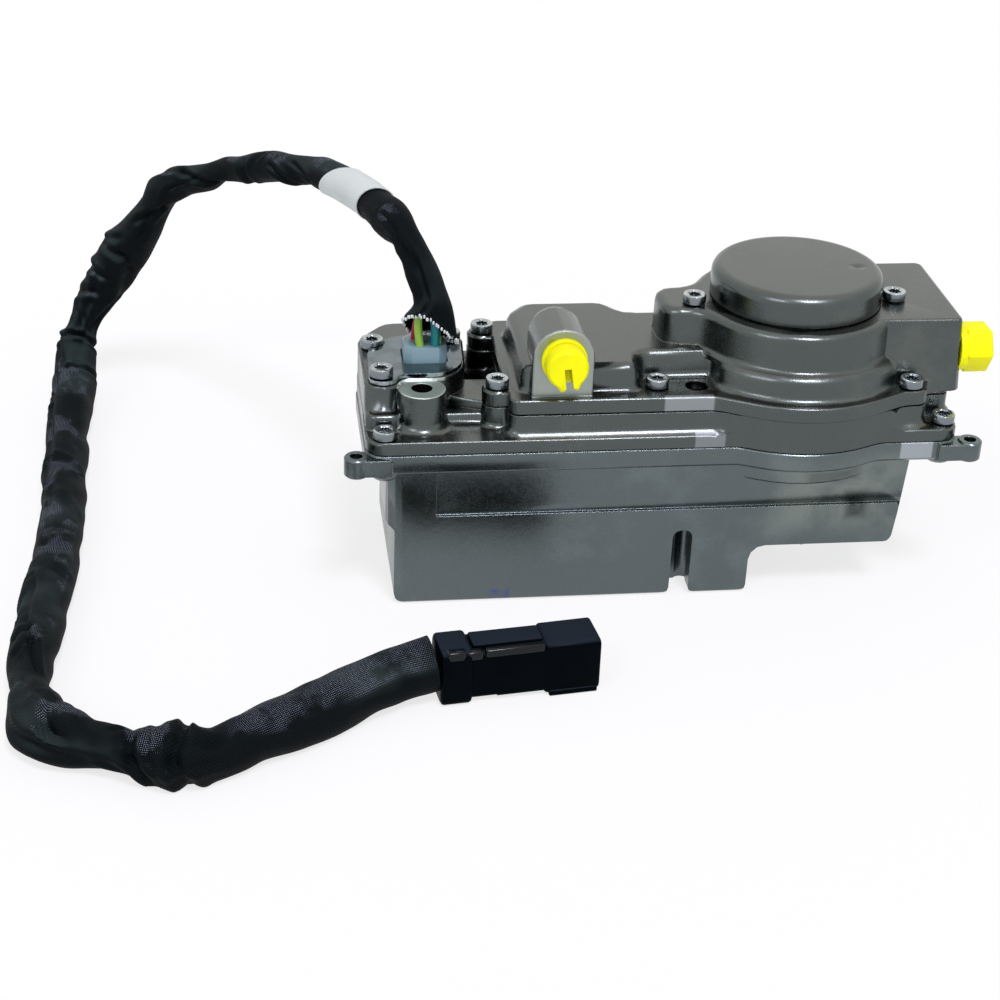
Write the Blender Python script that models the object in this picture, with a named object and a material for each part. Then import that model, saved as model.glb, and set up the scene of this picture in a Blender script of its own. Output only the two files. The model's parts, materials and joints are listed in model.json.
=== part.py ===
"""Electric actuator of a variable-geometry turbocharger, with its wiring harness.

Three stacked aluminium castings hold a motor under a round cap, a two-stage gear train
and the electronics. The output pinion stands out under the shallow end of the base.
All sizes are in millimetres. The origin is on the floor under the middle of the castings,
X runs along the body towards the output end, Y runs to the back and Z runs up.
"""
import math

import bmesh
import bpy
from mathutils import Vector

MM = 0.001
# Gap kept between pieces that touch, and how far joined forms are sunk into each other
SEAT = 0.3
SINK = 2.0

# Motor axis
CASE_X = 49.5

# Gear train. Each wheel's teeth are counted once, and the axes follow from them
PRESSURE_ANGLE = math.radians(25)
BACKLASH = 0.35
FIRST_MODULE = 1.0
MOTOR_TEETH = 11
WHEEL_TEETH = 44
SECOND_MODULE = 1.25
PINION_TEETH = 12
SECTOR_TEETH = 48
OUTPUT_MODULE = 1.75
OUTPUT_TEETH = 12
WHEEL_X = CASE_X - FIRST_MODULE * (MOTOR_TEETH + WHEEL_TEETH) / 2
OUTPUT_X = WHEEL_X + SECOND_MODULE * (PINION_TEETH + SECTOR_TEETH) / 2
TRAVEL_TEETH = 10
SECTOR_THICK = 7.0
PINION_FACE = 10.5
WHEEL_THICK = 6.5
PIN_R = 4.0
SECTOR_HUB_R = 12.0
OUTPUT_FACE = 12.0
OUTPUT_GAP = 2.5

# Foot of the gear train, which the joint above it follows
GEAR_FOOT = 47.0

# Half depth of the lower body: its wall stands clear of the widest wheel
BASE_WALL = 4.0
GEAR_ROOM = 1.25
SECTOR_TIP_R = SECOND_MODULE * (SECTOR_TEETH / 2 + 1)
BODY_HALF = SECTOR_TIP_R + GEAR_ROOM + BASE_WALL

# Joint faces and tops of the castings, each measured from the one below it
BASE_TOP = GEAR_FOOT + 16.0
FLANGE_THICK = 7.5
DECK_THICK = 5.0
WALL_RISE = 8.0
PLATE_THICK = 6.0
HUMP_RISE = 10.0
STEP_RISE = 9.0
CASE_RISE = 23.5
PEDESTAL_RISE = 15.0
BOSS_RISE = 14.0
SHELF_RISE = 7.0

# Plan of the joint flanges
FLANGE_LEFT = -111.5
FLANGE_HALF = BODY_HALF + 2.5
FLANGE_CORNER = 7.0
BASE_FLANGE_LIP = 0.4
CHAMFER_X = 9.5
CHAMFER_Y = 24.0

# Round case about the motor
BULGE_R = 46.5
RIM_R = BULGE_R + 1.5
STEP_R = 43.0
CASE_R = 38.4
LOWER_BULGE_R = BULGE_R - 3.5
LOWER_BULGE_DROP = 7.0
BULGE_SPREAD = math.radians(28)
BULGE_BLEND = 12.0

# Upper wall of the main casting, and the cover plate that matches it
WALL_LEFT = -60.5
WALL_HALF = FLANGE_HALF - 3.5
WALL_BACK_RIGHT = WALL_HALF + 3.3
WALL_CORNER = 4.0
WALL_FLARE = 3.0
NOTCH_Y = -WALL_HALF + 9.0
COLUMN_X = -63.6
COLUMN_R = 5.6

# Right ends of flange and wall, clear of the case bulge
BULGE_REACH = (RIM_R / math.cos(BULGE_SPREAD) - WALL_HALF) / math.tan(BULGE_SPREAD)
FLANGE_RIGHT = CASE_X + max(BULGE_R + 10.0, BULGE_REACH + 21.0)
WALL_RIGHT = FLANGE_RIGHT - 1.5
NOTCH_X = WALL_RIGHT - 11.0

# Raised block of the cover
HUMP_LEFT = -56.0
HUMP_FRONT = -WALL_HALF + 6.0
HUMP_BACK = WALL_HALF - 4.5
HUMP_PAD_X = -12.0
HUMP_PAD_Y = -18.0
HUMP_STEP_Y = 21.0
HUMP_INTO_CASE = 20.0
STEP_LEFT = 16.5
STEP_BLEND = 6.0

# Coolant port tower at the front, and its round-topped machined face
PORT_X = -41.4
PORT_HALF = 11.1
PORT_FACE_Y = -WALL_HALF + 3.1
PORT_RISE = 14.5
RIDGE_LENGTH = 30.0
PORT_BORE_R = 6.0
PORT_BORE_DEPTH = 16.0

# Coolant block at the right, beside the cap
BLOCK_RIGHT = FLANGE_RIGHT + 0.5
BLOCK_FRONT = -24.5
BLOCK_BACK = 29.8
BLOCK_FOOT_RISE = 1.2
BLOCK_DRAFT = 0.07
SIDE_PORT_Y = -17.0
SIDE_PORT_DROP = 14.5
PORT_SEAT_R = 9.2
SIDE_PLUG_LONG = 12.6

# Lobe of the case beside the cap
LOBE_LEFT = -2.5
LOBE_HALF = 11.5
LOBE_CORNER = 7.0
LOBE_BLEND = 12.0

# Round bearing cap
CAP_R = 31.6
CAP_RISE = 11.5
CAP_EDGE = 3.6
CAP_WALL = 3.2
SPIGOT_DEPTH = 2.6

# Lower body of the base
BODY_LEFT = -104.0
BODY_RIGHT_TOP = FLANGE_RIGHT - 15.5
BODY_RIGHT_FOOT = BODY_RIGHT_TOP - 4.5
BOX_LEFT = -101.0
BOX_RIGHT = 31.8
BOX_STEP_Z = 33.0
SHALLOW_Z = 20.0
PANEL_Z = 36.7
PANEL_DEPTH = 1.5
PANEL_LEFT = -86.0
GROOVE_X = 6.0
GROOVE_WIDTH = 7.4
GROOVE_DEPTH = 12.2
GROOVE_TOP = 27.6
GROOVE_CORNER = 3.0
CHAMBER_FLOOR = 31.0
OUTPUT_FLOOR = 24.0
PARTITION_X = -7.5
CHAMBER_RIGHT = BODY_RIGHT_TOP - 7.5
CHAMBER_RISE = 7.0

# Small ears at the front ends of the base flange
EAR_LEFT_X = -115.0
EAR_RIGHT_X = FLANGE_RIGHT + 4.5
EAR_Y = -FLANGE_HALF + 1.5
EAR_R = 4.5
EAR_HOLE_R = 2.3

# Through bolts: the tall boss at the left, and the pad in the cover
BOSS_X = -90.7
BOSS_Y = -22.7
BOSS_R = 9.0
BOSS_HOLE_R = 3.9
BOLT_X = 9.0
BOLT_Y = -WALL_HALF + 9.3
BOLT_HOLE_R = 3.2
BOLT_MOUTH_R = 4.3
BOLT_MOUTH_DEPTH = 3.0
BOLT_COLUMN_R = 5.3

# Cylinder-head screws
SCREW_R = 2.5
SCREW_HEAD_R = 4.25
SCREW_HEAD = 3.7
SCREW_LENGTH = 14.0
LONG_SCREW_LENGTH = 24.0
SPOT_FACE_ROOM = 0.6
RECESS_R = 2.3
RECESS_DEPTH = 2.2

# Gaskets in the two joints of the castings
GASKET_HALF = 1.0
GASKET_DEPTH = 1.6

# Where the screws stand
COVER_SCREWS = [
    (COLUMN_X, -WALL_HALF + 12.7), (COLUMN_X, WALL_HALF - 10.2), (-5.7, -WALL_HALF + 9.8),
    (NOTCH_X - 5.9, -WALL_HALF + 4.7), (-5.7, WALL_HALF - 7.0),
]
LONG_SCREWS = [(WALL_RIGHT - 10.5, WALL_BACK_RIGHT - 4.4)]
CASE_SCREWS = [(10.4, -5.0), (85.5, -5.5)]
DECK_SCREWS = [(-104.7, -FLANGE_HALF + 5.0), (FLANGE_RIGHT - 5.0, -FLANGE_HALF + 6.8), (-90.0, FLANGE_HALF + 2.3)]
PLATE_SCREWS = [(-104.9, -17.8), (-106.2, 11.0), (-77.5, 12.5)]

# Harness connector on its pedestal
CONNECTOR_X = -88.0
CONNECTOR_Y = -1.0
CONNECTOR_HALF_X = 8.0
CONNECTOR_HALF_Y = 7.0
CONNECTOR_RISE = 6.0
STEM_INSET = 1.0
COLLAR_R = 11.0
PEDESTAL_FRONT = -16.8
POST_FRONT = -28.8
POST_RISE = 6.0
COLLAR_THICK = 2.4
RETAINER_THICK = 1.5

# Bearings
BEARING_R = 11.0
BEARING_BORE = 4.0
BEARING_THICK = 7.0
OUTPUT_BOSS_R = 15.0

# Motor
STATOR_R = 30.0
STATOR_BORE = 19.0
STATOR_LONG = 13.0
ROTOR_R = 18.3
SLOTS = 9
COIL_RISE = 3.2
COIL_HALF = 2.0
MOTOR_FLOOR_RISE = 2.0

# Electronics in the deep end of the base
BOARD_Z = 54.0
BOARD_THICK = 1.6
POST_R = 3.5
CAN_R = 8.0
CAN_LONG = 26.0

# Harness, its plug, and the points that its centre line runs through
HARNESS_R = 7.0
WIRE_R = 1.1
MOUTH_DROP = 0.9
ROUTE_STEPS = 44
LABEL_FROM = 5
LABEL_TO = 7
LABEL_THICK = 0.4
PLUG_START = (-91.4, -96.4)
PLUG_TURN = math.radians(7)
PLUG_LONG = 56.5
PLUG_HEIGHT = 20.0
PLUG_DEPTH = 15.0
COLLAR_EXTRA = 1.0
LOCK_FROM = 11.5
LOCK_LONG = 25.0
ROUTE = [
    (-87.3, -3.8, 97.2), (-86.4, -3.8, 106.9), (-89.8, 0.4, 120.0), (-95.4, 11.3, 128.2),
    (-101.2, 27.8, 130.3), (-108.5, 49.1, 129.4), (-119.1, 70.7, 128.0), (-133.9, 91.6, 124.0),
    (-149.5, 110.8, 116.7), (-166.5, 127.7, 107.3), (-183.6, 140.6, 94.8), (-193.8, 149.4, 76.5),
    (-204.9, 155.6, 58.1), (-215.5, 156.2, 41.2), (-222.6, 148.2, 24.6), (-224.8, 127.2, 12.0),
    (-225.7, 95.0, 8.2), (-224.7, 52.9, 8.0), (-224.3, 12.5, 8.0), (-225.7, -24.3, 8.0),
    (-227.7, -54.9, 8.0), (-229.0, -83.6, 8.0), (-227.6, -105.6, 8.0), (-222.6, -119.3, 8.0),
    (-212.1, -127.2, 8.0), (-200.6, -132.0, 8.0), (-188.0, -135.9, 8.0), (-172.5, -137.7, 8.0),
    (-156.7, -130.2, 8.0), (-139.7, -119.6, 8.3), (-121.8, -107.8, 9.0), (-106.2, -98.8, 10.0),
    (-92.4, -96.3, 10.5),
]

# Heights that follow from the sizes above
MAIN_FOOT = BASE_TOP + SEAT
DECK_TOP = BASE_TOP + DECK_THICK
MAIN_TOP = DECK_TOP + WALL_RISE
PLATE_FOOT = MAIN_TOP + SEAT
PLATE_TOP = MAIN_TOP + PLATE_THICK
HUMP_TOP = PLATE_TOP + HUMP_RISE
STEP_TOP = PLATE_TOP + STEP_RISE
LAND_TOP = PLATE_TOP + CASE_RISE
CAP_TOP = LAND_TOP + SEAT + CAP_RISE
PEDESTAL_TOP = DECK_TOP + PEDESTAL_RISE
BOSS_TOP = DECK_TOP + BOSS_RISE
CHAMBER_TOP = BASE_TOP + CHAMBER_RISE
RETAINER_TOP = PEDESTAL_TOP + SEAT + RETAINER_THICK
CONNECTOR_TOP = RETAINER_TOP + CONNECTOR_RISE
MOTOR_FLOOR = PLATE_TOP + MOTOR_FLOOR_RISE
SIDE_FACE_X = BLOCK_RIGHT + BLOCK_DRAFT * (SIDE_PORT_DROP - PORT_SEAT_R)
STATOR_FOOT = MOTOR_FLOOR + COIL_RISE + 2 * SEAT
WHEEL_FOOT = GEAR_FOOT + PINION_FACE
EVERYTHING = 200.0


def rounded(corners, grow=0.0):
    """Outline through corners (x, y, radius), anticlockwise, with every side moved out by grow."""
    points = []
    count = len(corners)
    for index, (x, y, radius) in enumerate(corners):
        here = Vector((x, y))
        before = Vector(corners[index - 1][:2])
        after = Vector(corners[(index + 1) % count][:2])
        came = (here - before).normalized()
        goes = (after - here).normalized()
        out_came = Vector((came.y, -came.x))
        out_goes = Vector((goes.y, -goes.x))
        tip = here + (out_came + out_goes) * grow / (1 + out_came.dot(out_goes))
        turn = math.atan2(came.x * goes.y - came.y * goes.x, came.dot(goes))
        if radius <= 0:
            points.append(tuple(tip))
            continue
        side = 1 if turn > 0 else -1
        bend = max(radius + side * grow, 0.05)
        degrees_each = 8 if radius > 20 else 18 if radius > 8 else 30
        steps = max(2, round(abs(math.degrees(turn)) / degrees_each))
        start = tip - came * bend * math.tan(abs(turn) / 2)
        centre = start - out_came * bend * side
        first = math.atan2(out_came.y * side, out_came.x * side)
        for step in range(steps + 1):
            angle = first + turn * step / steps
            points.append((centre.x + bend * math.cos(angle), centre.y + bend * math.sin(angle)))
    return points


def circle(x, y, radius, sides=32):
    """Corners of a regular outline that stands for a circle."""
    turn = math.tau / sides
    return [(x + radius * math.cos(turn * k), y + radius * math.sin(turn * k), 0) for k in range(sides)]


def box_corners(x_low, x_high, y_low, y_high, radius=0.0):
    """Corners of a rectangle, anticlockwise."""
    return [(x_low, y_low, radius), (x_high, y_low, radius), (x_high, y_high, radius), (x_low, y_high, radius)]


def bulge(half, radius, back=False, right_half=None):
    """Three corners that carry a straight flange edge round the case, at the front or the back."""
    reach = radius / math.cos(BULGE_SPREAD)
    right_half = right_half or half
    slope = math.tan(BULGE_SPREAD)
    sign = 1 if back else -1
    corners = [
        (CASE_X - (reach - half) / slope, sign * half, BULGE_BLEND),
        (CASE_X, sign * reach, radius),
        (CASE_X + (reach - right_half) / slope, sign * right_half, BULGE_BLEND),
    ]
    return corners[::-1] if back else corners


def skin(name, rings, ring_closed=False):
    """One closed mesh over equal rings of points: capped at both ends, or joined into a ring."""
    mesh = bpy.data.meshes.new(name)
    model = bmesh.new()
    rows = [[model.verts.new(Vector(point) * MM) for point in ring] for ring in rings]
    pairs = list(zip(rows, rows[1:]))
    if ring_closed:
        pairs.append((rows[-1], rows[0]))
    else:
        model.faces.new(rows[0][::-1])
        model.faces.new(rows[-1])
    for low, high in pairs:
        for k in range(len(low)):
            after = (k + 1) % len(low)
            model.faces.new((low[k], low[after], high[after], high[k]))
    bmesh.ops.recalc_face_normals(model, faces=model.faces)
    model.to_mesh(mesh)
    model.free()
    return place_mesh(name, mesh)


def place_mesh(name, mesh):
    """Put a mesh into the scene as an object of that name."""
    thing = bpy.data.objects.new(name, mesh)
    bpy.context.scene.collection.objects.link(thing)
    return thing


def prism(name, corners, layers, along="Z"):
    """Solid with one outline at several levels (level, grow), stacked along Z, Y or X."""
    rings = []
    for level, grow in layers:
        flat = rounded(corners, grow)
        if along == "Z":
            rings.append([(u, v, level) for u, v in flat])
        elif along == "Y":
            rings.append([(u, level, v) for u, v in flat])
        else:
            rings.append([(level, u, v) for u, v in flat])
    return skin(name, rings)


def top_edge(top, radius, steps=2):
    """Levels of a rounded upper edge that ends at top."""
    angles = [math.pi / 2 * k / steps for k in range(steps + 1)]
    return [(top - radius + radius * math.sin(a), radius * math.cos(a) - radius) for a in angles]


def foot_flare(foot, radius, steps=2):
    """Levels of a hollow fillet that spreads onto the face below a wall."""
    angles = [math.pi / 2 * k / steps for k in range(steps + 1)]
    return [(foot + radius - radius * math.cos(a), radius - radius * math.sin(a)) for a in angles]


def bottom_edge(foot, radius, steps=1):
    """Levels of a rounded lower edge that starts at foot."""
    angles = [math.pi / 2 * k / steps for k in range(steps + 1)]
    return [(foot + radius - radius * math.cos(a), radius * math.sin(a) - radius) for a in angles]


def cast_form(name, corners, foot, top, flare, edge, draft=0.02, steps=2):
    """Raised cast shape: sunk foot, hollow fillet, wall with draft, rounded top edge."""
    edge_steps = 1 if edge < 1.5 else steps
    layers = [(foot - SINK, flare)] + foot_flare(foot, flare, steps) + top_edge(top, edge, edge_steps)
    tapered = [(level, grow - draft * max(level - foot, 0)) for level, grow in layers]
    return prism(name, corners, tapered)


def turned(name, profile, x=0.0, y=0.0, steps=40, along="Z"):
    """Turned solid. The profile (radius, level) runs from the axis back to it, or is a closed loop."""
    mesh = bpy.data.meshes.new(name)
    model = bmesh.new()
    spots = [model.verts.new((radius * MM, 0, level * MM)) for radius, level in profile]
    for low, high in zip(spots, spots[1:]):
        model.edges.new((low, high))
    if min(radius for radius, level in profile) > 0:
        model.edges.new((spots[-1], spots[0]))
    bmesh.ops.spin(
        model, geom=model.verts[:] + model.edges[:], cent=(0, 0, 0), axis=(0, 0, 1),
        angle=math.tau, steps=steps, use_merge=True,
    )
    bmesh.ops.remove_doubles(model, verts=model.verts, dist=0.001 * MM)
    if along == "Y":
        for vert in model.verts:
            vert.co = Vector((vert.co.x, vert.co.z, vert.co.y))
    elif along == "X":
        for vert in model.verts:
            vert.co = Vector((vert.co.z, vert.co.x, vert.co.y))
    shift = Vector((x, y, 0)) * MM
    for vert in model.verts:
        vert.co += shift
    bmesh.ops.recalc_face_normals(model, faces=model.faces)
    model.to_mesh(mesh)
    model.free()
    return place_mesh(name, mesh)


def rod(radius, low, high, x=0.0, y=0.0, sides=32, name="rod"):
    """Plain round bar along Z."""
    return prism(name, circle(x, y, radius, sides), [(low, 0), (high, 0)])


def combine(target, others, operation):
    """Apply a Boolean of target with each other solid in turn, and use the others up."""
    for other in others:
        step = target.modifiers.new(operation.title(), "BOOLEAN")
        step.operation = operation
        step.solver = "EXACT"
        step.object = other
        shape = target.evaluated_get(bpy.context.evaluated_depsgraph_get())
        mesh = bpy.data.meshes.new_from_object(shape)
        target.modifiers.clear()
        target.data = mesh
        bpy.data.objects.remove(other)
        model = bmesh.new()
        model.from_mesh(mesh)
        bmesh.ops.remove_doubles(model, verts=model.verts, dist=0.002 * MM)
        bmesh.ops.dissolve_degenerate(model, edges=model.edges, dist=0.001 * MM)
        model.to_mesh(mesh)
        model.free()
    return target


def join(target, others):
    """Fuse solids that belong to one casting."""
    return combine(target, others, "UNION")


def cut(target, cutters):
    """Take each cutter out of the target."""
    return combine(target, cutters, "DIFFERENCE")


def flange_ears(name, low, high):
    """Round ears that carry the deck screws standing outside the flange's back edge."""
    return [
        prism(name, circle(x, y, SCREW_HEAD_R + 2.1, 24), [(low, 0), (high, 0)])
        for x, y in DECK_SCREWS if y > FLANGE_HALF
    ]


def flange_corners():
    """Plan of the joint between base and main casting, with the case bulge front and back."""
    return [
        (FLANGE_LEFT, -FLANGE_HALF, FLANGE_CORNER),
        *bulge(FLANGE_HALF, BULGE_R),
        (FLANGE_RIGHT, -FLANGE_HALF, FLANGE_CORNER),
        (FLANGE_RIGHT, FLANGE_HALF, FLANGE_CORNER),
        *bulge(FLANGE_HALF, BULGE_R, back=True),
        (FLANGE_LEFT + CHAMFER_X, FLANGE_HALF, FLANGE_CORNER),
        (FLANGE_LEFT, FLANGE_HALF - CHAMFER_Y, FLANGE_CORNER),
    ]


def wall_corners(case_radius):
    """Plan of the cover plate and of the wall under it, notched for the screw at the right."""
    return [
        (WALL_LEFT, -WALL_HALF, WALL_CORNER),
        *bulge(WALL_HALF, case_radius),
        (NOTCH_X, -WALL_HALF, WALL_CORNER),
        (NOTCH_X, NOTCH_Y, WALL_CORNER),
        (WALL_RIGHT, NOTCH_Y, WALL_CORNER),
        (WALL_RIGHT, WALL_BACK_RIGHT, WALL_CORNER),
        *bulge(WALL_HALF, case_radius, back=True, right_half=WALL_BACK_RIGHT),
        (WALL_LEFT, WALL_HALF, WALL_CORNER),
    ]


def pedestal_corners():
    """Plan of the connector pedestal, with a lug for each screw of the retaining plate."""
    left = FLANGE_LEFT + SEAT
    return [
        (left, PLATE_SCREWS[0][1] - 6.5, 6.0),
        (PLATE_SCREWS[0][0] + 6.2, PLATE_SCREWS[0][1] - 6.5, 6.0),
        (PLATE_SCREWS[0][0] + 7.0, PEDESTAL_FRONT - 0.6, 3.0),
        (CONNECTOR_X + COLLAR_R + 3.0, PEDESTAL_FRONT - 0.6, 14.0),
        (CONNECTOR_X + COLLAR_R + 5.5, PLATE_SCREWS[2][1] + 8.0, 8.0),
        (CONNECTOR_X, FLANGE_HALF - 6.5, 9.0),
        (FLANGE_LEFT + CHAMFER_X + 1.5, FLANGE_HALF - 6.5, 8.0),
        (left, PLATE_SCREWS[1][1] + 8.0, 8.0),
    ]


def retainer_corners():
    """Outline of the bent steel plate that holds the connector down."""
    return [
        (PLATE_SCREWS[0][0] - 5.0, PLATE_SCREWS[0][1] - 5.0, 4.8),
        (PLATE_SCREWS[0][0] + 5.2, PLATE_SCREWS[0][1] - 5.0, 4.8),
        (PLATE_SCREWS[0][0] + 6.2, PEDESTAL_FRONT, 3.0),
        (CONNECTOR_X + COLLAR_R + 2.0, PEDESTAL_FRONT, 13.0),
        (CONNECTOR_X + COLLAR_R + 4.0, PLATE_SCREWS[2][1] + 5.5, 6.0),
        (PLATE_SCREWS[0][0] - 2.8, PLATE_SCREWS[2][1] + 3.5, 17.0),
    ]


def screw_holes(places, top, depth):
    """Clearance holes for screws, from just above top down to the given depth."""
    return [rod(SCREW_R + SEAT, top - depth, top + 1, x, y, 12) for x, y in places]


def spot_faces(places, seat):
    """Room milled for screw heads into the fillets beside them."""
    radius = SCREW_HEAD_R + SPOT_FACE_ROOM
    return [rod(radius, seat, seat + SCREW_HEAD + 2, x, y, 24) for x, y in places]


def through_bolt_cutters():
    """Bores for the two long bolts, which run through all three castings."""
    return [
        rod(BOSS_HOLE_R, -1, EVERYTHING, BOSS_X, BOSS_Y, 24),
        rod(BOLT_HOLE_R, -1, EVERYTHING, BOLT_X, BOLT_Y, 24),
    ]


def ring_cutter(corners, foot, top, half_width):
    """Solid band that follows an outline, for a gasket or its groove."""
    outer = rounded(corners, half_width)
    inner = rounded(corners, -half_width)
    rings = [
        [(x, y, foot) for x, y in inner], [(x, y, foot) for x, y in outer],
        [(x, y, top) for x, y in outer], [(x, y, top) for x, y in inner],
    ]
    return skin("band", rings, ring_closed=True)


def base_gasket_corners():
    """Line that the lower gasket follows, between the cavities and the screws."""
    edge = BODY_HALF - GASKET_HALF
    left = BOX_LEFT + BASE_WALL / 2
    right = CHAMBER_RIGHT + BASE_WALL
    return box_corners(left, right, -edge, edge, 5.0)


def cover_gasket_corners():
    """Circle that the upper gasket follows, round the motor."""
    return circle(CASE_X, 0, STATOR_R + 3.5, 40)


def chamber_corners(wall=BASE_WALL):
    """Plan of the gear chamber."""
    edge = BODY_HALF - wall
    return box_corners(PARTITION_X + wall / 2, CHAMBER_RIGHT, -edge, edge, 6.0)


def electronics_corners():
    """Plan of the electronics space in the deep end."""
    edge = BODY_HALF - BASE_WALL
    return box_corners(BOX_LEFT + BASE_WALL, PARTITION_X - BASE_WALL / 2, -edge, edge, 6.0)


def base_housing():
    """Lower casting: joint flange, deep box, shallow output end, bearing tower and bosses."""
    underside = BASE_TOP - FLANGE_THICK
    front_view = [
        (BOX_LEFT, 0, 4.0), (BOX_RIGHT, 0, 3.0), (BOX_RIGHT, SHALLOW_Z, 6.0),
        (BODY_RIGHT_FOOT, SHALLOW_Z, 3.0), (BODY_RIGHT_TOP, underside + 1, 0), (BODY_LEFT, underside + 1, 0),
        (BODY_LEFT, BOX_STEP_Z, 1.5), (BOX_LEFT, BOX_STEP_Z - 2, 1.5),
    ]
    body = prism("base_housing", front_view, [(-EVERYTHING, 0), (EVERYTHING, 0)], along="Y")
    plan = prism(
        "plan", box_corners(BODY_LEFT, BODY_RIGHT_TOP, -BODY_HALF, BODY_HALF, 6.0),
        [(z, grow - 0.6) for z, grow in bottom_edge(0, 1.2)] + [(underside + 2, 0.4)],
    )
    combine(body, [plan], "INTERSECT")
    panel = prism(
        "panel", box_corners(PANEL_LEFT, EVERYTHING, -EVERYTHING, -BODY_HALF + PANEL_DEPTH, 0),
        [(PANEL_Z, 0), (underside + 5, 0)],
    )
    left, right = GROOVE_X - GROOVE_WIDTH / 2, GROOVE_X + GROOVE_WIDTH / 2
    groove = prism(
        "groove",
        [
            (left - 6, -2, 0), (right + 6, -2, 0), (right + 6, 0, 0), (right, 0, GROOVE_CORNER),
            (right, GROOVE_TOP, 3.0), (left, GROOVE_TOP, 3.0), (left, 0, GROOVE_CORNER), (left - 6, 0, 0),
        ],
        [(-BODY_HALF - 5, 0), (-BODY_HALF + GROOVE_DEPTH, 0)], along="Y",
    )
    cut(body, [panel, groove])
    lip = BASE_FLANGE_LIP
    flange = prism(
        "flange", flange_corners(),
        [(z, grow + lip) for z, grow in bottom_edge(underside, 1.2, 1)] + [(BASE_TOP - 0.4, lip), (BASE_TOP, lip - 0.4)],
    )
    lower_bulge = prism(
        "lower_bulge", circle(CASE_X, 0, LOWER_BULGE_R, 40),
        bottom_edge(underside - LOWER_BULGE_DROP, 1.5) + [(underside + 2, 0)],
    )
    lugs = [
        prism(
            "lug", circle(x, y, SCREW_HEAD_R + 2.2, 16),
            bottom_edge(underside - 2.5, 2.0) + [(BASE_TOP - 2, 0)],
        )
        for x, y in DECK_SCREWS
    ]
    ears = []
    for x, inward in ((EAR_LEFT_X, 1), (EAR_RIGHT_X, -1)):
        ears.append(
            prism("ear", circle(x, EAR_Y, EAR_R, 20), bottom_edge(underside, 0.6, 1) + top_edge(BASE_TOP, 0.5, 1))
        )
        low, high = sorted((x, x + inward * 12))
        ears.append(
            prism(
                "neck", box_corners(low, high, EAR_Y - EAR_R * 0.8, EAR_Y + EAR_R * 0.95, 0),
                [(underside + 0.6, 0), (BASE_TOP - 0.6, 0)],
            )
        )
    join(body, [flange, lower_bulge] + lugs + ears + flange_ears("back_ear", underside, BASE_TOP))
    cut(body, [
        prism("electronics", electronics_corners(), [(BASE_WALL, 0), (BASE_TOP + 1, 0)]),
        prism("chamber", chamber_corners(), [(CHAMBER_FLOOR, 0), (BASE_TOP + 1, 0)]),
        prism(
            "output_end",
            box_corners(
                BOX_RIGHT + BASE_WALL, CHAMBER_RIGHT - 2, -BODY_HALF + BASE_WALL + 1, BODY_HALF - BASE_WALL - 1, 6.0
            ),
            [(OUTPUT_FLOOR, 0), (CHAMBER_FLOOR + 1, 0)],
        ),
    ])
    tower_top = GEAR_FOOT - 1.0
    join(body, [
        rod(BOSS_R - 1.0, 1.0, BASE_TOP, BOSS_X, BOSS_Y, 24),
        rod(BOLT_COLUMN_R, GROOVE_TOP, BASE_TOP, BOLT_X, BOLT_Y, 20),
        rod(OUTPUT_BOSS_R, SHALLOW_Z - 2, tower_top, OUTPUT_X, 0, 40),
        rod(PIN_R + 5, CHAMBER_FLOOR - 2, tower_top, WHEEL_X, 0, 24),
    ] + [rod(POST_R, 2.0, BOARD_Z - SEAT, x, y, 16) for x, y in board_posts()])
    bearing_r = BEARING_R + SEAT
    cut(body, [
        rod(bearing_r, tower_top - BEARING_THICK - 2 * SEAT, tower_top + 1, OUTPUT_X, 0, 36),
        rod(bearing_r, SHALLOW_Z - 3, SHALLOW_Z + BEARING_THICK + 3.0, OUTPUT_X, 0, 36),
        rod(BEARING_BORE + 3, SHALLOW_Z, tower_top, OUTPUT_X, 0, 24),
        rod(PIN_R + SEAT, CHAMBER_FLOOR + 2, tower_top + 1, WHEEL_X, 0, 20),
        ring_cutter(base_gasket_corners(), BASE_TOP - GASKET_DEPTH - SEAT, BASE_TOP + 1, GASKET_HALF + SEAT),
    ] + through_bolt_cutters() + screw_holes(DECK_SCREWS, BASE_TOP, SCREW_LENGTH - DECK_THICK + 1)
      + screw_holes(LONG_SCREWS, BASE_TOP, LONG_SCREW_LENGTH - PLATE_TOP + BASE_TOP + 1) + [
        rod(EAR_HOLE_R, underside - 1, BASE_TOP + 1, x, EAR_Y, 16) for x in (EAR_LEFT_X, EAR_RIGHT_X)
    ])
    return body


def board_corners():
    """Outline of the circuit board, cut back round the bolt column."""
    left = BOX_LEFT + BASE_WALL + 1
    right = PARTITION_X - BASE_WALL / 2 - 1
    edge = BODY_HALF - BASE_WALL - 1
    return [
        (BOSS_X + BOSS_R + 2, -edge, 2), (right, -edge, 3), (right, edge, 3), (left, edge, 3),
        (left, BOSS_Y + BOSS_R + 2, 2), (BOSS_X + BOSS_R + 2, BOSS_Y + BOSS_R + 2, 2),
    ]


def board_posts():
    """Centres of the posts under the board."""
    left = BOX_LEFT + BASE_WALL + 6
    right = PARTITION_X - BASE_WALL / 2 - 7
    edge = BODY_HALF - BASE_WALL - 6
    return [(left, edge), (right, edge), (right, -edge), (BOSS_X + BOSS_R + 8, -edge)]


def neck_corners(y):
    """Outline of the web that ties a screw column of the left wall to that wall."""
    return box_corners(COLUMN_X, WALL_LEFT + WALL_CORNER, y - COLUMN_R + 0.2, y + COLUMN_R - 0.2, 0)


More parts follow.
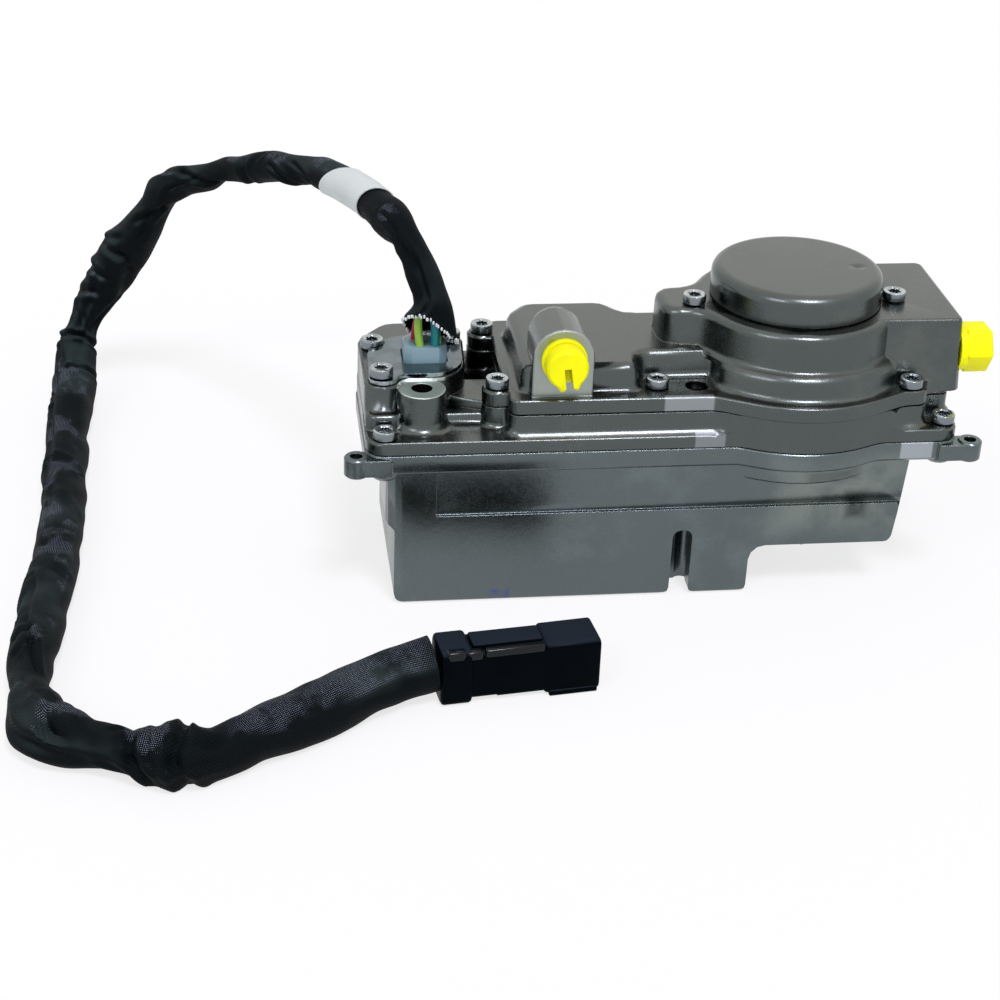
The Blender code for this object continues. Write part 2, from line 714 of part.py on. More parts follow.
def main_housing():
    """Middle casting: deck, wall under the cover, bolt boss, ribs and connector pedestal."""
    deck = prism("main_housing", flange_corners(), [(MAIN_FOOT, 0)] + top_edge(DECK_TOP, 0.8, 1))
    wall = prism(
        "wall", wall_corners(BULGE_R + 1),
        [(DECK_TOP - SINK, WALL_FLARE)] + foot_flare(DECK_TOP, WALL_FLARE) + [(MAIN_TOP, 0)],
    )
    columns = [
        prism("column", circle(x, y, COLUMN_R, 18), [(DECK_TOP - SINK, 2)] + foot_flare(DECK_TOP, 2, 2) + [(MAIN_TOP, 0)])
        for x, y in COVER_SCREWS[:2]
    ] + [prism("neck", neck_corners(y), [(DECK_TOP - SINK, 0), (MAIN_TOP, 0)]) for x, y in COVER_SCREWS[:2]]
    pedestal = cast_form("pedestal", pedestal_corners(), DECK_TOP, PEDESTAL_TOP, 2.5, 0.8, 0.01)
    post = cast_form(
        "post", box_corners(FLANGE_LEFT + SEAT, PLATE_SCREWS[0][0] + 7.0, POST_FRONT, CONNECTOR_Y, 4.0),
        DECK_TOP, DECK_TOP + POST_RISE, 0.8, 1.6, 0.01,
    )
    boss = cast_form("boss", circle(BOSS_X, BOSS_Y, BOSS_R, 28), DECK_TOP, BOSS_TOP, 3.5, 0.5, 0.01)
    shelf = cast_form(
        "shelf",
        [
            (BOSS_X + 5, BOSS_Y + 6.5, 0), (BOSS_X + BOSS_R + 1.5, BOSS_Y + 6.5, 2), (WALL_LEFT - 5, BOSS_Y + 0.5, 2),
            (WALL_LEFT + 4, BOSS_Y + 0.5, 2), (WALL_LEFT + 4, -1, 2), (BOSS_X + 5, -1, 0),
        ],
        DECK_TOP, DECK_TOP + SHELF_RISE, 2.0, 1.0, 0.02, 1,
    )
    rib = cast_form(
        "rib", box_corners(BOSS_X + 2, WALL_LEFT + 2, BOSS_Y - 1.0, BOSS_Y + 5.5, 1.0),
        DECK_TOP, DECK_TOP + 0.5 * SHELF_RISE, 1.2, 0.8, 0.02, 1,
    )
    join(deck, [wall] + columns + [pedestal, post, boss, shelf, rib])
    combine(deck, [prism("clip", flange_corners(), [(0, 0), (EVERYTHING, 0)])], "INTERSECT")
    join(deck, flange_ears("back_ear", MAIN_FOOT, DECK_TOP))
    stem_room = SEAT - STEM_INSET
    cut(deck, [
        prism("chamber", chamber_corners(), [(BASE_TOP - 1, 0), (CHAMBER_TOP, 0)]),
        prism("electronics", electronics_corners(), [(BASE_TOP - 1, 0), (MAIN_FOOT + 2, 0)]),
        prism("pocket", connector_corners(), [(MAIN_FOOT, stem_room), (PEDESTAL_TOP + 1, stem_room)]),
        rod(COLLAR_R + SEAT, PEDESTAL_TOP - COLLAR_THICK - SEAT, PEDESTAL_TOP + 1, CONNECTOR_X, CONNECTOR_Y, 36),
    ])
    join(deck, [
        rod(BOSS_R - 1.0, MAIN_FOOT, MAIN_FOOT + 4, BOSS_X, BOSS_Y, 24),
        rod(BOLT_COLUMN_R, MAIN_FOOT, CHAMBER_TOP + 2, BOLT_X, BOLT_Y, 20),
    ])
    cut(deck, [
        rod(BEARING_R - 2, CHAMBER_TOP - 1, MAIN_TOP + 1, CASE_X, 0, 32),
        rod(PIN_R + SEAT, CHAMBER_TOP - 1, MAIN_TOP - 1.5, WHEEL_X, 0, 20),
        ring_cutter(cover_gasket_corners(), MAIN_TOP - GASKET_DEPTH - SEAT, MAIN_TOP + 1, GASKET_HALF + SEAT),
    ] + through_bolt_cutters() + screw_holes(DECK_SCREWS, DECK_TOP + 1, DECK_THICK + 3)
      + spot_faces(DECK_SCREWS[:2], DECK_TOP)
      + screw_holes(COVER_SCREWS, MAIN_TOP, SCREW_LENGTH - PLATE_THICK + 1)
      + screw_holes(LONG_SCREWS, MAIN_TOP, LONG_SCREW_LENGTH)
      + screw_holes(PLATE_SCREWS, PEDESTAL_TOP, SCREW_LENGTH + 1))
    return deck


def arc(radius, first, last, x=CASE_X, y=0.0, steps=32):
    """Corners along an arc about a centre, angles in radians."""
    turn = (last - first) / steps
    return [(x + radius * math.cos(first + turn * k), y + radius * math.sin(first + turn * k), 0)
            for k in range(steps + 1)]


def step_corners():
    """Plan of the step round the case: a circle squared off at its left front, where it leaves the raised block."""
    reach = CASE_X - STEP_LEFT
    cut_y = math.sqrt(STEP_R ** 2 - reach ** 2)
    first = math.atan2(-cut_y, -reach)
    inside = HUMP_PAD_Y + 2.0
    ring = arc(STEP_R, first + math.radians(8), math.radians(160), steps=33)
    return [(STEP_LEFT - 14, inside, 0), (STEP_LEFT, inside, STEP_BLEND), (STEP_LEFT, -cut_y, STEP_BLEND)] + ring + [
        (STEP_LEFT - 14, 10.0, 0),
    ]


def case_corners():
    """Plan of the motor case, which runs out at the left into the lobe of a screw by a soft double curve."""
    away = LOBE_HALF + LOBE_BLEND
    along = math.sqrt((CASE_R + LOBE_BLEND) ** 2 - away ** 2)
    meet = math.atan2(-away, -along)
    centre_x = CASE_X - along
    ring = arc(CASE_R, meet, -meet, steps=36)
    lean = math.pi + meet
    back = arc(LOBE_BLEND, -lean, -math.pi / 2, centre_x, away, 5)[1:]
    front = arc(LOBE_BLEND, math.pi / 2, lean, centre_x, -away, 5)[:-1]
    lobe = [(LOBE_LEFT, LOBE_HALF, LOBE_CORNER), (LOBE_LEFT, -LOBE_HALF, LOBE_CORNER)]
    return ring + back + lobe + front


def top_cover():
    """Upper casting: plate, raised block, port tower, stepped motor case, lobe and coolant block."""
    plate = prism(
        "top_cover", wall_corners(RIM_R), [(PLATE_FOOT, -0.4), (PLATE_FOOT + 0.4, 0)] + top_edge(PLATE_TOP, 1.0, 2)
    )
    columns = [
        prism("column", circle(x, y, COLUMN_R, 18), [(PLATE_FOOT, -0.2)] + top_edge(PLATE_TOP, 0.8, 1))
        for x, y in COVER_SCREWS[:2]
    ] + [
        prism("neck", neck_corners(y), [(PLATE_FOOT + 0.2, 0)] + top_edge(PLATE_TOP, 0.8, 1)) for x, y in COVER_SCREWS[:2]
    ]
    hump = cast_form(
        "hump",
        [
            (HUMP_LEFT, HUMP_FRONT, 5.0), (HUMP_PAD_X, HUMP_FRONT, 5.0), (HUMP_PAD_X, HUMP_PAD_Y, 5.0),
            (CASE_X - HUMP_INTO_CASE, HUMP_PAD_Y, 0), (CASE_X - HUMP_INTO_CASE, HUMP_STEP_Y, 0),
            (HUMP_PAD_X + 2, HUMP_STEP_Y, 6.0),
            (HUMP_PAD_X - 5, HUMP_BACK, 8.0), (HUMP_LEFT + 8, HUMP_BACK, 8.0), (HUMP_LEFT, HUMP_STEP_Y, 8.0),
        ],
        PLATE_TOP, HUMP_TOP, 2.0, 3.0, 0.12,
    )
    step = cast_form("step", step_corners(), PLATE_TOP, STEP_TOP, 2.5, 2.8, 0.03)
    case = cast_form("case", case_corners(), STEP_TOP, LAND_TOP, 2.0, 3.0, 0.02, 3)
    block_foot = PLATE_FOOT + BLOCK_FOOT_RISE
    block = prism(
        "block",
        [
            (CASE_X + 8, BLOCK_FRONT, 0), (BLOCK_RIGHT, BLOCK_FRONT, 2.0),
            (BLOCK_RIGHT, BLOCK_BACK, 3.0), (CASE_X + 8, BLOCK_BACK, 0),
        ],
        [(block_foot, BLOCK_DRAFT * (LAND_TOP - block_foot))] + top_edge(LAND_TOP, 1.2, 2),
    )
    tower_z = PLATE_TOP + PORT_RISE
    tower_outline = [
        (PORT_X - PORT_HALF, PLATE_TOP - SINK, 0), (PORT_X + PORT_HALF, PLATE_TOP - SINK, 0),
        (PORT_X + PORT_HALF, tower_z + PORT_HALF, PORT_HALF - 0.1), (PORT_X - PORT_HALF, tower_z + PORT_HALF, PORT_HALF - 0.1),
    ]
    back_end = PORT_FACE_Y + RIDGE_LENGTH
    tower = prism(
        "tower", tower_outline,
        [
            (PORT_FACE_Y, -0.3), (PORT_FACE_Y + 0.3, 0), (PORT_FACE_Y + 2.0, 0), (PORT_FACE_Y + 3.0, -0.7),
            (back_end - 7, -1.2), (back_end - 3, -2.5), (back_end - 0.8, -5.0), (back_end, -7.5),
        ],
        along="Y",
    )
    join(plate, columns + [hump, step, case, block, tower])
    side_z = LAND_TOP - SIDE_PORT_DROP
    side_bore = prism(
        "side_bore", circle(SIDE_PORT_Y, side_z, PORT_BORE_R, 24),
        [(BLOCK_RIGHT - PORT_BORE_DEPTH, 0), (BLOCK_RIGHT + 5, 0)], along="X",
    )
    front_bore = prism(
        "front_bore", circle(PORT_X, tower_z, PORT_BORE_R, 24),
        [(PORT_FACE_Y - 5, 0), (PORT_FACE_Y + PORT_BORE_DEPTH, 0)], along="Y",
    )
    side_seat = prism(
        "side_seat", circle(SIDE_PORT_Y, side_z, PORT_SEAT_R, 24),
        [(SIDE_FACE_X, 0), (BLOCK_RIGHT + 5, 0)], along="X",
    )
    cut(plate, [
        side_bore, side_seat, front_bore,
        rod(STATOR_R + SEAT, MOTOR_FLOOR, LAND_TOP + 1, CASE_X, 0, 40),
        rod(BEARING_R + SEAT, PLATE_FOOT + 1.0, MOTOR_FLOOR + 1, CASE_X, 0, 36),
        rod(BEARING_BORE + 2, PLATE_FOOT - 1, MOTOR_FLOOR, CASE_X, 0, 20),
        rod(BOLT_MOUTH_R, PLATE_TOP - BOLT_MOUTH_DEPTH, PLATE_TOP + 1, BOLT_X, BOLT_Y, 24),
        rod(BOLT_HOLE_R, PLATE_FOOT - 1, PLATE_TOP, BOLT_X, BOLT_Y, 24),
    ] + screw_holes(COVER_SCREWS + LONG_SCREWS, PLATE_TOP, PLATE_THICK + 1)
      + screw_holes(CASE_SCREWS, LAND_TOP, SCREW_LENGTH + 1) + spot_faces(COVER_SCREWS[3:4] + LONG_SCREWS, PLATE_TOP))
    return plate


def bearing_cap():
    """Round cap: thin crown, rounded edge, spigot into the case and a pocket for the top bearing."""
    foot = LAND_TOP + SEAT
    crown = CAP_TOP - CAP_WALL
    pocket = BEARING_R + SEAT
    corner = [(CAP_R + grow, level) for level, grow in top_edge(CAP_TOP, CAP_EDGE, 3)]
    pocket_top = cap_bearing_foot() + BEARING_THICK + SEAT
    profile = [
        (0, pocket_top), (pocket, pocket_top), (pocket, foot - 0.5), (pocket + 3.0, foot - 0.5),
        (pocket + 3.0, crown), (STATOR_R - 3.2, crown), (STATOR_R - 3.2, foot - SPIGOT_DEPTH),
        (STATOR_R - SEAT, foot - SPIGOT_DEPTH), (STATOR_R - SEAT, foot), (CAP_R, foot),
    ] + corner + [(0, CAP_TOP)]
    return turned("bearing_cap", profile, CASE_X, 0, 40)


def cap_bearing_foot():
    """Height of the top bearing's lower face."""
    return CAP_TOP - CAP_WALL - BEARING_THICK + 0.6


def gear_points(teeth, module, first=0.0, count=None, shares=(0.0, 0.45, 1.0)):
    """Outline of involute teeth about the origin. One tooth is centred on the angle first."""
    pitch_r = teeth * module / 2
    base_r = pitch_r * math.cos(PRESSURE_ANGLE)
    tip_r = pitch_r + 0.9 * module
    root_r = pitch_r - 1.15 * module
    half_pitch = math.pi / (2 * teeth) - BACKLASH / (4 * pitch_r)
    flank = []
    low_r = max(base_r, root_r)
    for share in shares:
        radius = low_r + (tip_r - low_r) * share
        roll = math.acos(min(1.0, base_r / radius))
        involute = math.tan(roll) - roll
        at_pitch = math.tan(PRESSURE_ANGLE) - PRESSURE_ANGLE
        flank.append((radius, half_pitch + at_pitch - involute))
    flank = [(root_r, flank[0][1] + 0.02)] + flank if root_r < low_r - 0.01 else flank
    points = []
    for tooth in range(teeth if count is None else count):
        middle = first + tooth * math.tau / teeth
        for radius, half in flank:
            points.append((radius * math.cos(middle - half), radius * math.sin(middle - half)))
        for radius, half in reversed(flank):
            points.append((radius * math.cos(middle + half), radius * math.sin(middle + half)))
    return points


def gear(name, points, foot, face):
    """Straight toothed solid about its own axis."""
    return prism(name, [(x, y, 0) for x, y in points], [(foot, 0), (foot + face, 0)])


def motor_shaft():
    """Rotor shaft with the motor pinion cut on its lower end."""
    first = math.pi + math.pi / MOTOR_TEETH
    shaft = gear("motor_shaft", gear_points(MOTOR_TEETH, FIRST_MODULE, first), WHEEL_FOOT + SEAT, WHEEL_THICK + 2)
    top = cap_bearing_foot() + BEARING_THICK - 1
    stem = rod(BEARING_BORE - SEAT, WHEEL_FOOT + WHEEL_THICK, top, 0, 0, 24)
    return join(shaft, [stem])


def stator_core():
    """Laminated ring with slots facing the rotor."""
    core = ring_tube("stator_core", STATOR_R, STATOR_BORE, STATOR_FOOT, STATOR_FOOT + STATOR_LONG, 36)
    slots = []
    for k in range(SLOTS):
        angle = math.tau * (k + 0.5) / SLOTS
        reach = (STATOR_R + STATOR_BORE) / 2
        slots.append(rod(2.6, STATOR_FOOT - 1, STATOR_FOOT + STATOR_LONG + 1,
                         reach * math.cos(angle), reach * math.sin(angle), 6))
    return cut(core, slots)


def ring_tube(name, outer, inner, low, high, steps=40):
    """Plain ring about its own axis."""
    return turned(name, [(inner, low), (outer, low), (outer, high), (inner, high)], 0, 0, steps)


def bearing(name, low):
    """Ball bearing, drawn closed by its shields, with its upper shield sunk between its rings."""
    high = low + BEARING_THICK
    waist = (BEARING_R + BEARING_BORE) / 2
    profile = [
        (BEARING_BORE, low), (BEARING_R, low), (BEARING_R, high), (waist + 1.6, high),
        (waist + 1.6, high - 0.5), (waist - 1.6, high - 0.5), (waist - 1.6, high), (BEARING_BORE, high),
    ]
    return turned(name, profile, 0, 0, 20)


def intermediate_gear():
    """Compound gear: large wheel above, small pinion below, turning on a fixed pin."""
    pinion = gear(
        "intermediate_gear", gear_points(PINION_TEETH, SECOND_MODULE, math.pi / PINION_TEETH), GEAR_FOOT, PINION_FACE + 1
    )
    wheel = gear("wheel", gear_points(WHEEL_TEETH, FIRST_MODULE, shares=(0.0, 1.0)), WHEEL_FOOT, WHEEL_THICK)
    join(pinion, [wheel])
    return cut(pinion, [rod(PIN_R + SEAT, GEAR_FOOT - 1, WHEEL_FOOT + WHEEL_THICK + 1, 0, 0, 24)])


def sector_gear():
    """Output sector: teeth over the travel, a thin web and a round hub."""
    tooth = math.tau / SECTOR_TEETH
    before = 2
    first = math.pi - TRAVEL_TEETH * tooth
    teeth = gear_points(SECTOR_TEETH, SECOND_MODULE, first - tooth, TRAVEL_TEETH + before + 2)
    low_angle = first - tooth * 1.6
    high_angle = math.pi + tooth * (before + 0.6)
    web_r = SECTOR_TEETH * SECOND_MODULE / 2 - 1.15 * SECOND_MODULE
    outline = [(web_r * math.cos(low_angle), web_r * math.sin(low_angle))] + teeth
    outline.append((web_r * math.cos(high_angle), web_r * math.sin(high_angle)))
    hub_gap = high_angle - low_angle
    steps = 10
    for k in range(steps + 1):
        angle = high_angle + 0.5 + (math.tau - hub_gap - 1.0) * k / steps
        outline.append((SECTOR_HUB_R * math.cos(angle), SECTOR_HUB_R * math.sin(angle)))
    sector = gear("output_sector_gear", outline, GEAR_FOOT + SEAT, SECTOR_THICK)
    return cut(sector, [rod(BEARING_BORE, GEAR_FOOT - 1, GEAR_FOOT + SECTOR_THICK + 2, 0, 0, 24)])


def output_shaft():
    """Stepped shaft through both output bearings, with a flat end below for the pinion."""
    top = GEAR_FOOT + SEAT + SECTOR_THICK + 0.8
    radius = BEARING_BORE - SEAT
    low = SHALLOW_Z - OUTPUT_GAP - OUTPUT_FACE - 1.5
    profile = [
        (0, low), (radius - 0.6, low), (radius, low + 0.6), (radius, top - 0.4), (radius - 0.4, top), (0, top)
    ]
    return turned("output_shaft", profile, 0, 0, 24)


def screw(name, x, y, seat, length):
    """Cylinder-head screw with a socket, its head's underside on seat."""
    profile = [
        (0, -length), (SCREW_R, -length), (SCREW_R, SEAT), (SCREW_HEAD_R, SEAT),
        (SCREW_HEAD_R, SCREW_HEAD - 0.5), (SCREW_HEAD_R - 0.5, SCREW_HEAD), (0, SCREW_HEAD),
    ]
    body = turned(name, profile, 0, 0, 12)
    cut(body, [prism("recess", circle(0, 0, RECESS_R, 6), [(SCREW_HEAD - RECESS_DEPTH, 0), (SCREW_HEAD + 1, 0)])])
    body.location = Vector((x, y, seat)) * MM
    return body


def front_port_plug():
    """Moulded shipping plug in the front coolant port: collar, slotted grip and stem."""
    z = PLATE_TOP + PORT_RISE
    face = PORT_FACE_Y
    profile = [
        (0, face + 11), (PORT_BORE_R - 1, face + 11), (PORT_BORE_R - SEAT, face + 9), (PORT_BORE_R - SEAT, face - SEAT),
        (8.0, face - SEAT), (8.2, face - 1.2), (8.0, face - 2.2), (7.2, face - 3.0), (6.9, face - 8.5),
        (6.2, face - 9.6), (0, face - 9.6),
    ]
    plug = turned("front_port_plug", profile, PORT_X, 0, 20, along="Y")
    for vert in plug.data.vertices:
        vert.co.z += z * MM
    slot = prism(
        "slot", box_corners(PORT_X - 0.2, PORT_X + 2.6, z - 12, z + 1.5, 0), [(face - 20, 0), (face - 3.4, 0)], along="Y"
    )
    return cut(plug, [slot])


def side_port_plug():
    """Moulded shipping plug with a hexagon head in the side coolant port."""
    z = LAND_TOP - SIDE_PORT_DROP
    face = SIDE_FACE_X
    tip = face + SIDE_PLUG_LONG
    hexagon = [
        (SIDE_PORT_Y + 9.4 * math.cos(math.tau * k / 6), z + 9.4 * math.sin(math.tau * k / 6), 0.8) for k in range(6)
    ]
    plug = prism(
        "side_port_plug", hexagon, [(face + SEAT + 2.5, -0.6), (face + SEAT + 3.0, 0), (tip - 0.8, 0), (tip, -0.8)], along="X"
    )
    collar = prism(
        "collar", circle(SIDE_PORT_Y, z, 8.6, 24), [(face + SEAT, 0), (face + SEAT + 3.0, 0)], along="X"
    )
    stem = prism(
        "stem", circle(SIDE_PORT_Y, z, PORT_BORE_R - SEAT, 24),
        [(BLOCK_RIGHT - 9, -1), (BLOCK_RIGHT - 7, 0), (face + SEAT + 1, 0)], along="X",
    )
    return join(plug, [collar, stem])


def connector_corners():
    """Outline of the connector's block."""
    return box_corners(
        CONNECTOR_X - CONNECTOR_HALF_X, CONNECTOR_X + CONNECTOR_HALF_X,
        CONNECTOR_Y - CONNECTOR_HALF_Y, CONNECTOR_Y + CONNECTOR_HALF_Y, 2.0,
    )


def connector_body():
    """Moulded connector: block above the plate, collar under it, stem down to the board."""
    outline = connector_corners()
    collar_low = PEDESTAL_TOP - COLLAR_THICK
    block = prism("connector_body", outline, [(collar_low + 1, 0)] + top_edge(CONNECTOR_TOP, 0.8, 2))
    collar = rod(COLLAR_R, collar_low, PEDESTAL_TOP, CONNECTOR_X, CONNECTOR_Y, 36)
    stem = prism(
        "stem", outline, [(BOARD_Z + BOARD_THICK + SEAT, -STEM_INSET), (collar_low + 1, -STEM_INSET)]
    )
    return join(block, [collar, stem])


def connector_plate():
    """Zinc-plated retaining plate with a window for the connector."""
    low = PEDESTAL_TOP + SEAT
    plate = prism("connector_plate", retainer_corners(), [(low, 0), (low + RETAINER_THICK, 0)])
    window = prism("window", connector_corners(), [(low - 1, SEAT), (low + 3, SEAT)])
    beside = rod(SCREW_HEAD_R + SPOT_FACE_ROOM, low - 1, low + 3, *PLATE_SCREWS[1], 24)
    return cut(plate, [window, beside] + screw_holes(PLATE_SCREWS[::2], low + 2, 4))


def smooth_route(points, share):
    """Point at a share of the way along a smooth curve through the route's points."""
    place = share * (len(points) - 1)
    index = min(int(place), len(points) - 2)
    t = place - index
    p = [Vector(points[max(0, min(len(points) - 1, index + k))]) for k in (-1, 0, 1, 2)]
    return 0.5 * (
        2 * p[1] + (p[2] - p[0]) * t + (2 * p[0] - 5 * p[1] + 4 * p[2] - p[3]) * t * t
        + (3 * p[1] - p[0] - 3 * p[2] + p[3]) * t ** 3
    )


def tube(name, points, radius):
    """Round tube along a line of points, as a curve with filled ends."""
    curve = bpy.data.curves.new(name, "CURVE")
    curve.dimensions = "3D"
    curve.bevel_depth = radius * MM
    curve.bevel_resolution = 2
    curve.resolution_u = 1
    curve.use_fill_caps = True
    line = curve.splines.new("POLY")
    line.points.add(len(points) - 1)
    for spot, point in zip(line.points, points):
        spot.co = (*(Vector(point) * MM), 1)
    thing = bpy.data.objects.new(name, curve)
    bpy.context.scene.collection.objects.link(thing)
    return thing


def sleeve_band(name, route, first, last, inner, outer):
    """Band wrapped round the harness between two of its route's steps."""
    rings_out = []
    rings_in = []
    for k in range(first, last + 1):
        here = route[k]
        ahead = (route[k + 1] - route[k - 1]).normalized()
        side = ahead.cross(Vector((0, 0, 1))).normalized()
        up = side.cross(ahead)
        angles = [math.tau * j / 16 for j in range(16)]
        rings_out.append([here + (side * math.cos(a) + up * math.sin(a)) * outer for a in angles])
        rings_in.append([here + (side * math.cos(a) + up * math.sin(a)) * inner for a in angles])
    return skin(name, rings_out + rings_in[::-1], ring_closed=True)


def harness_plug():
    """In-line plug lying on the floor: rear collar, body, front collar and a seal rib."""
    half = PLUG_DEPTH / 2
    body = prism(
        "harness_plug", box_corners(-half, half, 1.0, PLUG_HEIGHT - 1.0, 2.0),
        [(1.0, 0), (PLUG_LONG - 1.0, 0)], along="X",
    )
    rear = prism(
        "rear", box_corners(-half - COLLAR_EXTRA, half + COLLAR_EXTRA, 0, PLUG_HEIGHT + 1, 2.5),
        [(0, -0.6), (0.8, 0), (10.2, 0), (11.0, -0.6)], along="X",
    )
    front = prism(
        "front", box_corners(-half - COLLAR_EXTRA, half + COLLAR_EXTRA, 0, PLUG_HEIGHT, 3.0),
        [(PLUG_LONG - 19, -0.5), (PLUG_LONG - 18, 0), (PLUG_LONG - 0.6, 0), (PLUG_LONG, -0.6)], along="X",
    )
    join(body, [rear, front])
    mouth = prism(
        "mouth", box_corners(-half + 1.2, half - 1.2, 2.6, PLUG_HEIGHT - 2.6, 1.5),
        [(PLUG_LONG - 12, 0), (PLUG_LONG + 1, 0)], along="X",
    )
    cut(body, [mouth])
    body.location = Vector((*PLUG_START, 0)) * MM
    body.rotation_euler = (0, 0, PLUG_TURN)
    return body


def plug_lock():
    """Sliding lock on top of the plug."""
    low = PLUG_HEIGHT - 1.0 + SEAT
    lock = prism(
        "plug_lock", box_corners(-4.5, 4.5, low, low + 2.2, 0.8), [(LOCK_FROM, 0), (LOCK_FROM + LOCK_LONG, 0)],
        along="X",
    )
    lock.location = Vector((*PLUG_START, 0)) * MM
    lock.rotation_euler = (0, 0, PLUG_TURN)
    return lock


def material(name, colour, roughness, metallic=0.0):
    """Principled material of one colour."""
    made = bpy.data.materials.new(name)
    made.use_nodes = True
    shader = made.node_tree.nodes["Principled BSDF"]
    shader.inputs["Base Color"].default_value = (*colour, 1)
    shader.inputs["Roughness"].default_value = roughness
    shader.inputs["Metallic"].default_value = metallic
    return made


def axis_empty(name, x, parent):
    """Empty on an axis of rotation."""
    thing = bpy.data.objects.new(name, None)
    bpy.context.scene.collection.objects.link(thing)
    thing.location = Vector((x, 0, 0)) * MM
    thing.parent = parent
    return thing


def build():
    """Make every piece, give it its material and hang it under its empty."""
    for old in list(bpy.data.objects):
        bpy.data.objects.remove(old)
    root = bpy.data.objects.new("actuator", None)
    bpy.context.scene.collection.objects.link(root)
    motor_axis = axis_empty("motor_axis", CASE_X, root)
    wheel_axis = axis_empty("intermediate_axis", WHEEL_X, root)
    output_axis = axis_empty("output_axis", OUTPUT_X, root)

    cast = material("cast_aluminium", (0.17, 0.17, 0.155), 0.42, 0.85)
    base_cast = material("base_aluminium", (0.15, 0.16, 0.15), 0.5, 0.8)
    zinc = material("zinc_steel", (0.35, 0.40, 0.42), 0.3, 1.0)
    steel = material("ground_steel", (0.5, 0.5, 0.5), 0.3, 1.0)
    yellow = material("yellow_plastic", (0.9, 0.82, 0.01), 0.4)
    blue_grey = material("clear_plastic", (0.42, 0.52, 0.6), 0.25)
    black = material("black_plastic", (0.012, 0.014, 0.016), 0.4)
    weave = material("black_weave", (0.01, 0.011, 0.013), 0.5)
    paper = material("white_label", (0.75, 0.76, 0.76), 0.6)
    seal = material("rubber", (0.02, 0.02, 0.02), 0.7)
    copper = material("copper", (0.6, 0.25, 0.1), 0.4, 1.0)
    board = material("board_green", (0.02, 0.15, 0.06), 0.5)
    red = material("wire_red", (0.6, 0.02, 0.04), 0.4)
    green = material("wire_green", (0.25, 0.55, 0.08), 0.4)
    teal = material("wire_teal", (0.0, 0.25, 0.25), 0.4)

    made = []

    def add(thing, finish, parent=root):
        thing.data.materials.clear()
        thing.data.materials.append(finish)
        thing.parent = parent
        if thing.type == "MESH":
            thing.data.shade_smooth()
            thing.data.set_sharp_from_angle(angle=math.radians(35))
        made.append(thing)

    add(base_housing(), base_cast)
    add(main_housing(), cast)
    add(top_cover(), cast)
    add(bearing_cap(), cast)
    gasket = ring_cutter(base_gasket_corners(), BASE_TOP - GASKET_DEPTH, BASE_TOP, GASKET_HALF)
    gasket.name = "base_gasket"
    add(gasket, seal)
    gasket = ring_cutter(cover_gasket_corners(), MAIN_TOP - GASKET_DEPTH, MAIN_TOP, GASKET_HALF)
    gasket.name = "cover_gasket"
    add(gasket, seal)
    add(front_port_plug(), yellow)
    add(side_port_plug(), yellow)
    add(connector_body(), blue_grey)
    add(connector_plate(), zinc)

    for group, places, seat, length in (
        ("cover_screw", COVER_SCREWS, PLATE_TOP, SCREW_LENGTH), ("long_screw", LONG_SCREWS, PLATE_TOP, LONG_SCREW_LENGTH),
        ("case_screw", CASE_SCREWS, LAND_TOP, SCREW_LENGTH), ("deck_screw", DECK_SCREWS, DECK_TOP, SCREW_LENGTH),
        ("plate_screw", PLATE_SCREWS, RETAINER_TOP, SCREW_LENGTH),
    ):
        for number, (x, y) in enumerate(places, 1):
            # The second screw by the connector stands on the pedestal, beside the plate
            under = PEDESTAL_TOP if (x, y) == PLATE_SCREWS[1] else seat
            add(screw(f"{group}_{number}", x, y, under, length), zinc)

    add(motor_shaft(), steel, motor_axis)
    magnet = ring_tube("rotor_magnet", ROTOR_R, BEARING_BORE, STATOR_FOOT, STATOR_FOOT + STATOR_LONG, 28)
    add(magnet, seal, motor_axis)
    add(stator_core(), steel, motor_axis)
    coil_mid = (STATOR_R + STATOR_BORE) / 2
    for name, low in (("stator_winding_lower", MOTOR_FLOOR + SEAT), ("stator_winding_upper", STATOR_FOOT + STATOR_LONG + SEAT)):
        add(ring_tube(name, coil_mid + COIL_HALF, coil_mid - COIL_HALF, low, low + COIL_RISE, 28), copper, motor_axis)
    add(bearing("motor_bearing_lower", PLATE_FOOT + 1.0 + SEAT), steel, motor_axis)
    add(bearing("motor_bearing_upper", cap_bearing_foot()), steel, motor_axis)

    add(intermediate_gear(), steel, wheel_axis)
    pin_top = MAIN_TOP - 1.5 - SEAT
    add(rod(PIN_R, CHAMBER_FLOOR + 2 + SEAT, pin_top, 0, 0, 20, "intermediate_pin"), steel, wheel_axis)

    add(output_shaft(), steel, output_axis)
    add(sector_gear(), steel, output_axis)
    tower_top = GEAR_FOOT - 1.0
    add(bearing("output_bearing_upper", tower_top - BEARING_THICK - SEAT), steel, output_axis)
    add(bearing("output_bearing_lower", SHALLOW_Z + 3.0 - SEAT), steel, output_axis)
    add(ring_tube("output_seal", BEARING_R, BEARING_BORE, SHALLOW_Z - 1.0, SHALLOW_Z + 2.4, 24), seal, output_axis)
    pinion = gear(
        "output_pinion", gear_points(OUTPUT_TEETH, OUTPUT_MODULE), SHALLOW_Z - OUTPUT_GAP - OUTPUT_FACE, OUTPUT_FACE
    )
    add(cut(pinion, [rod(BEARING_BORE, -5, SHALLOW_Z, 0, 0, 20)]), steel, output_axis)

    add(prism("circuit_board", board_corners(), [(BOARD_Z, 0), (BOARD_Z + BOARD_THICK, 0)]), board)
    can_top = BOARD_Z - SEAT
    for number, x in enumerate((-72.0, -52.0, -32.0), 1):
        add(rod(CAN_R, can_top - CAN_LONG, can_top, x, 8.0, 24, f"capacitor_{number}"), black)

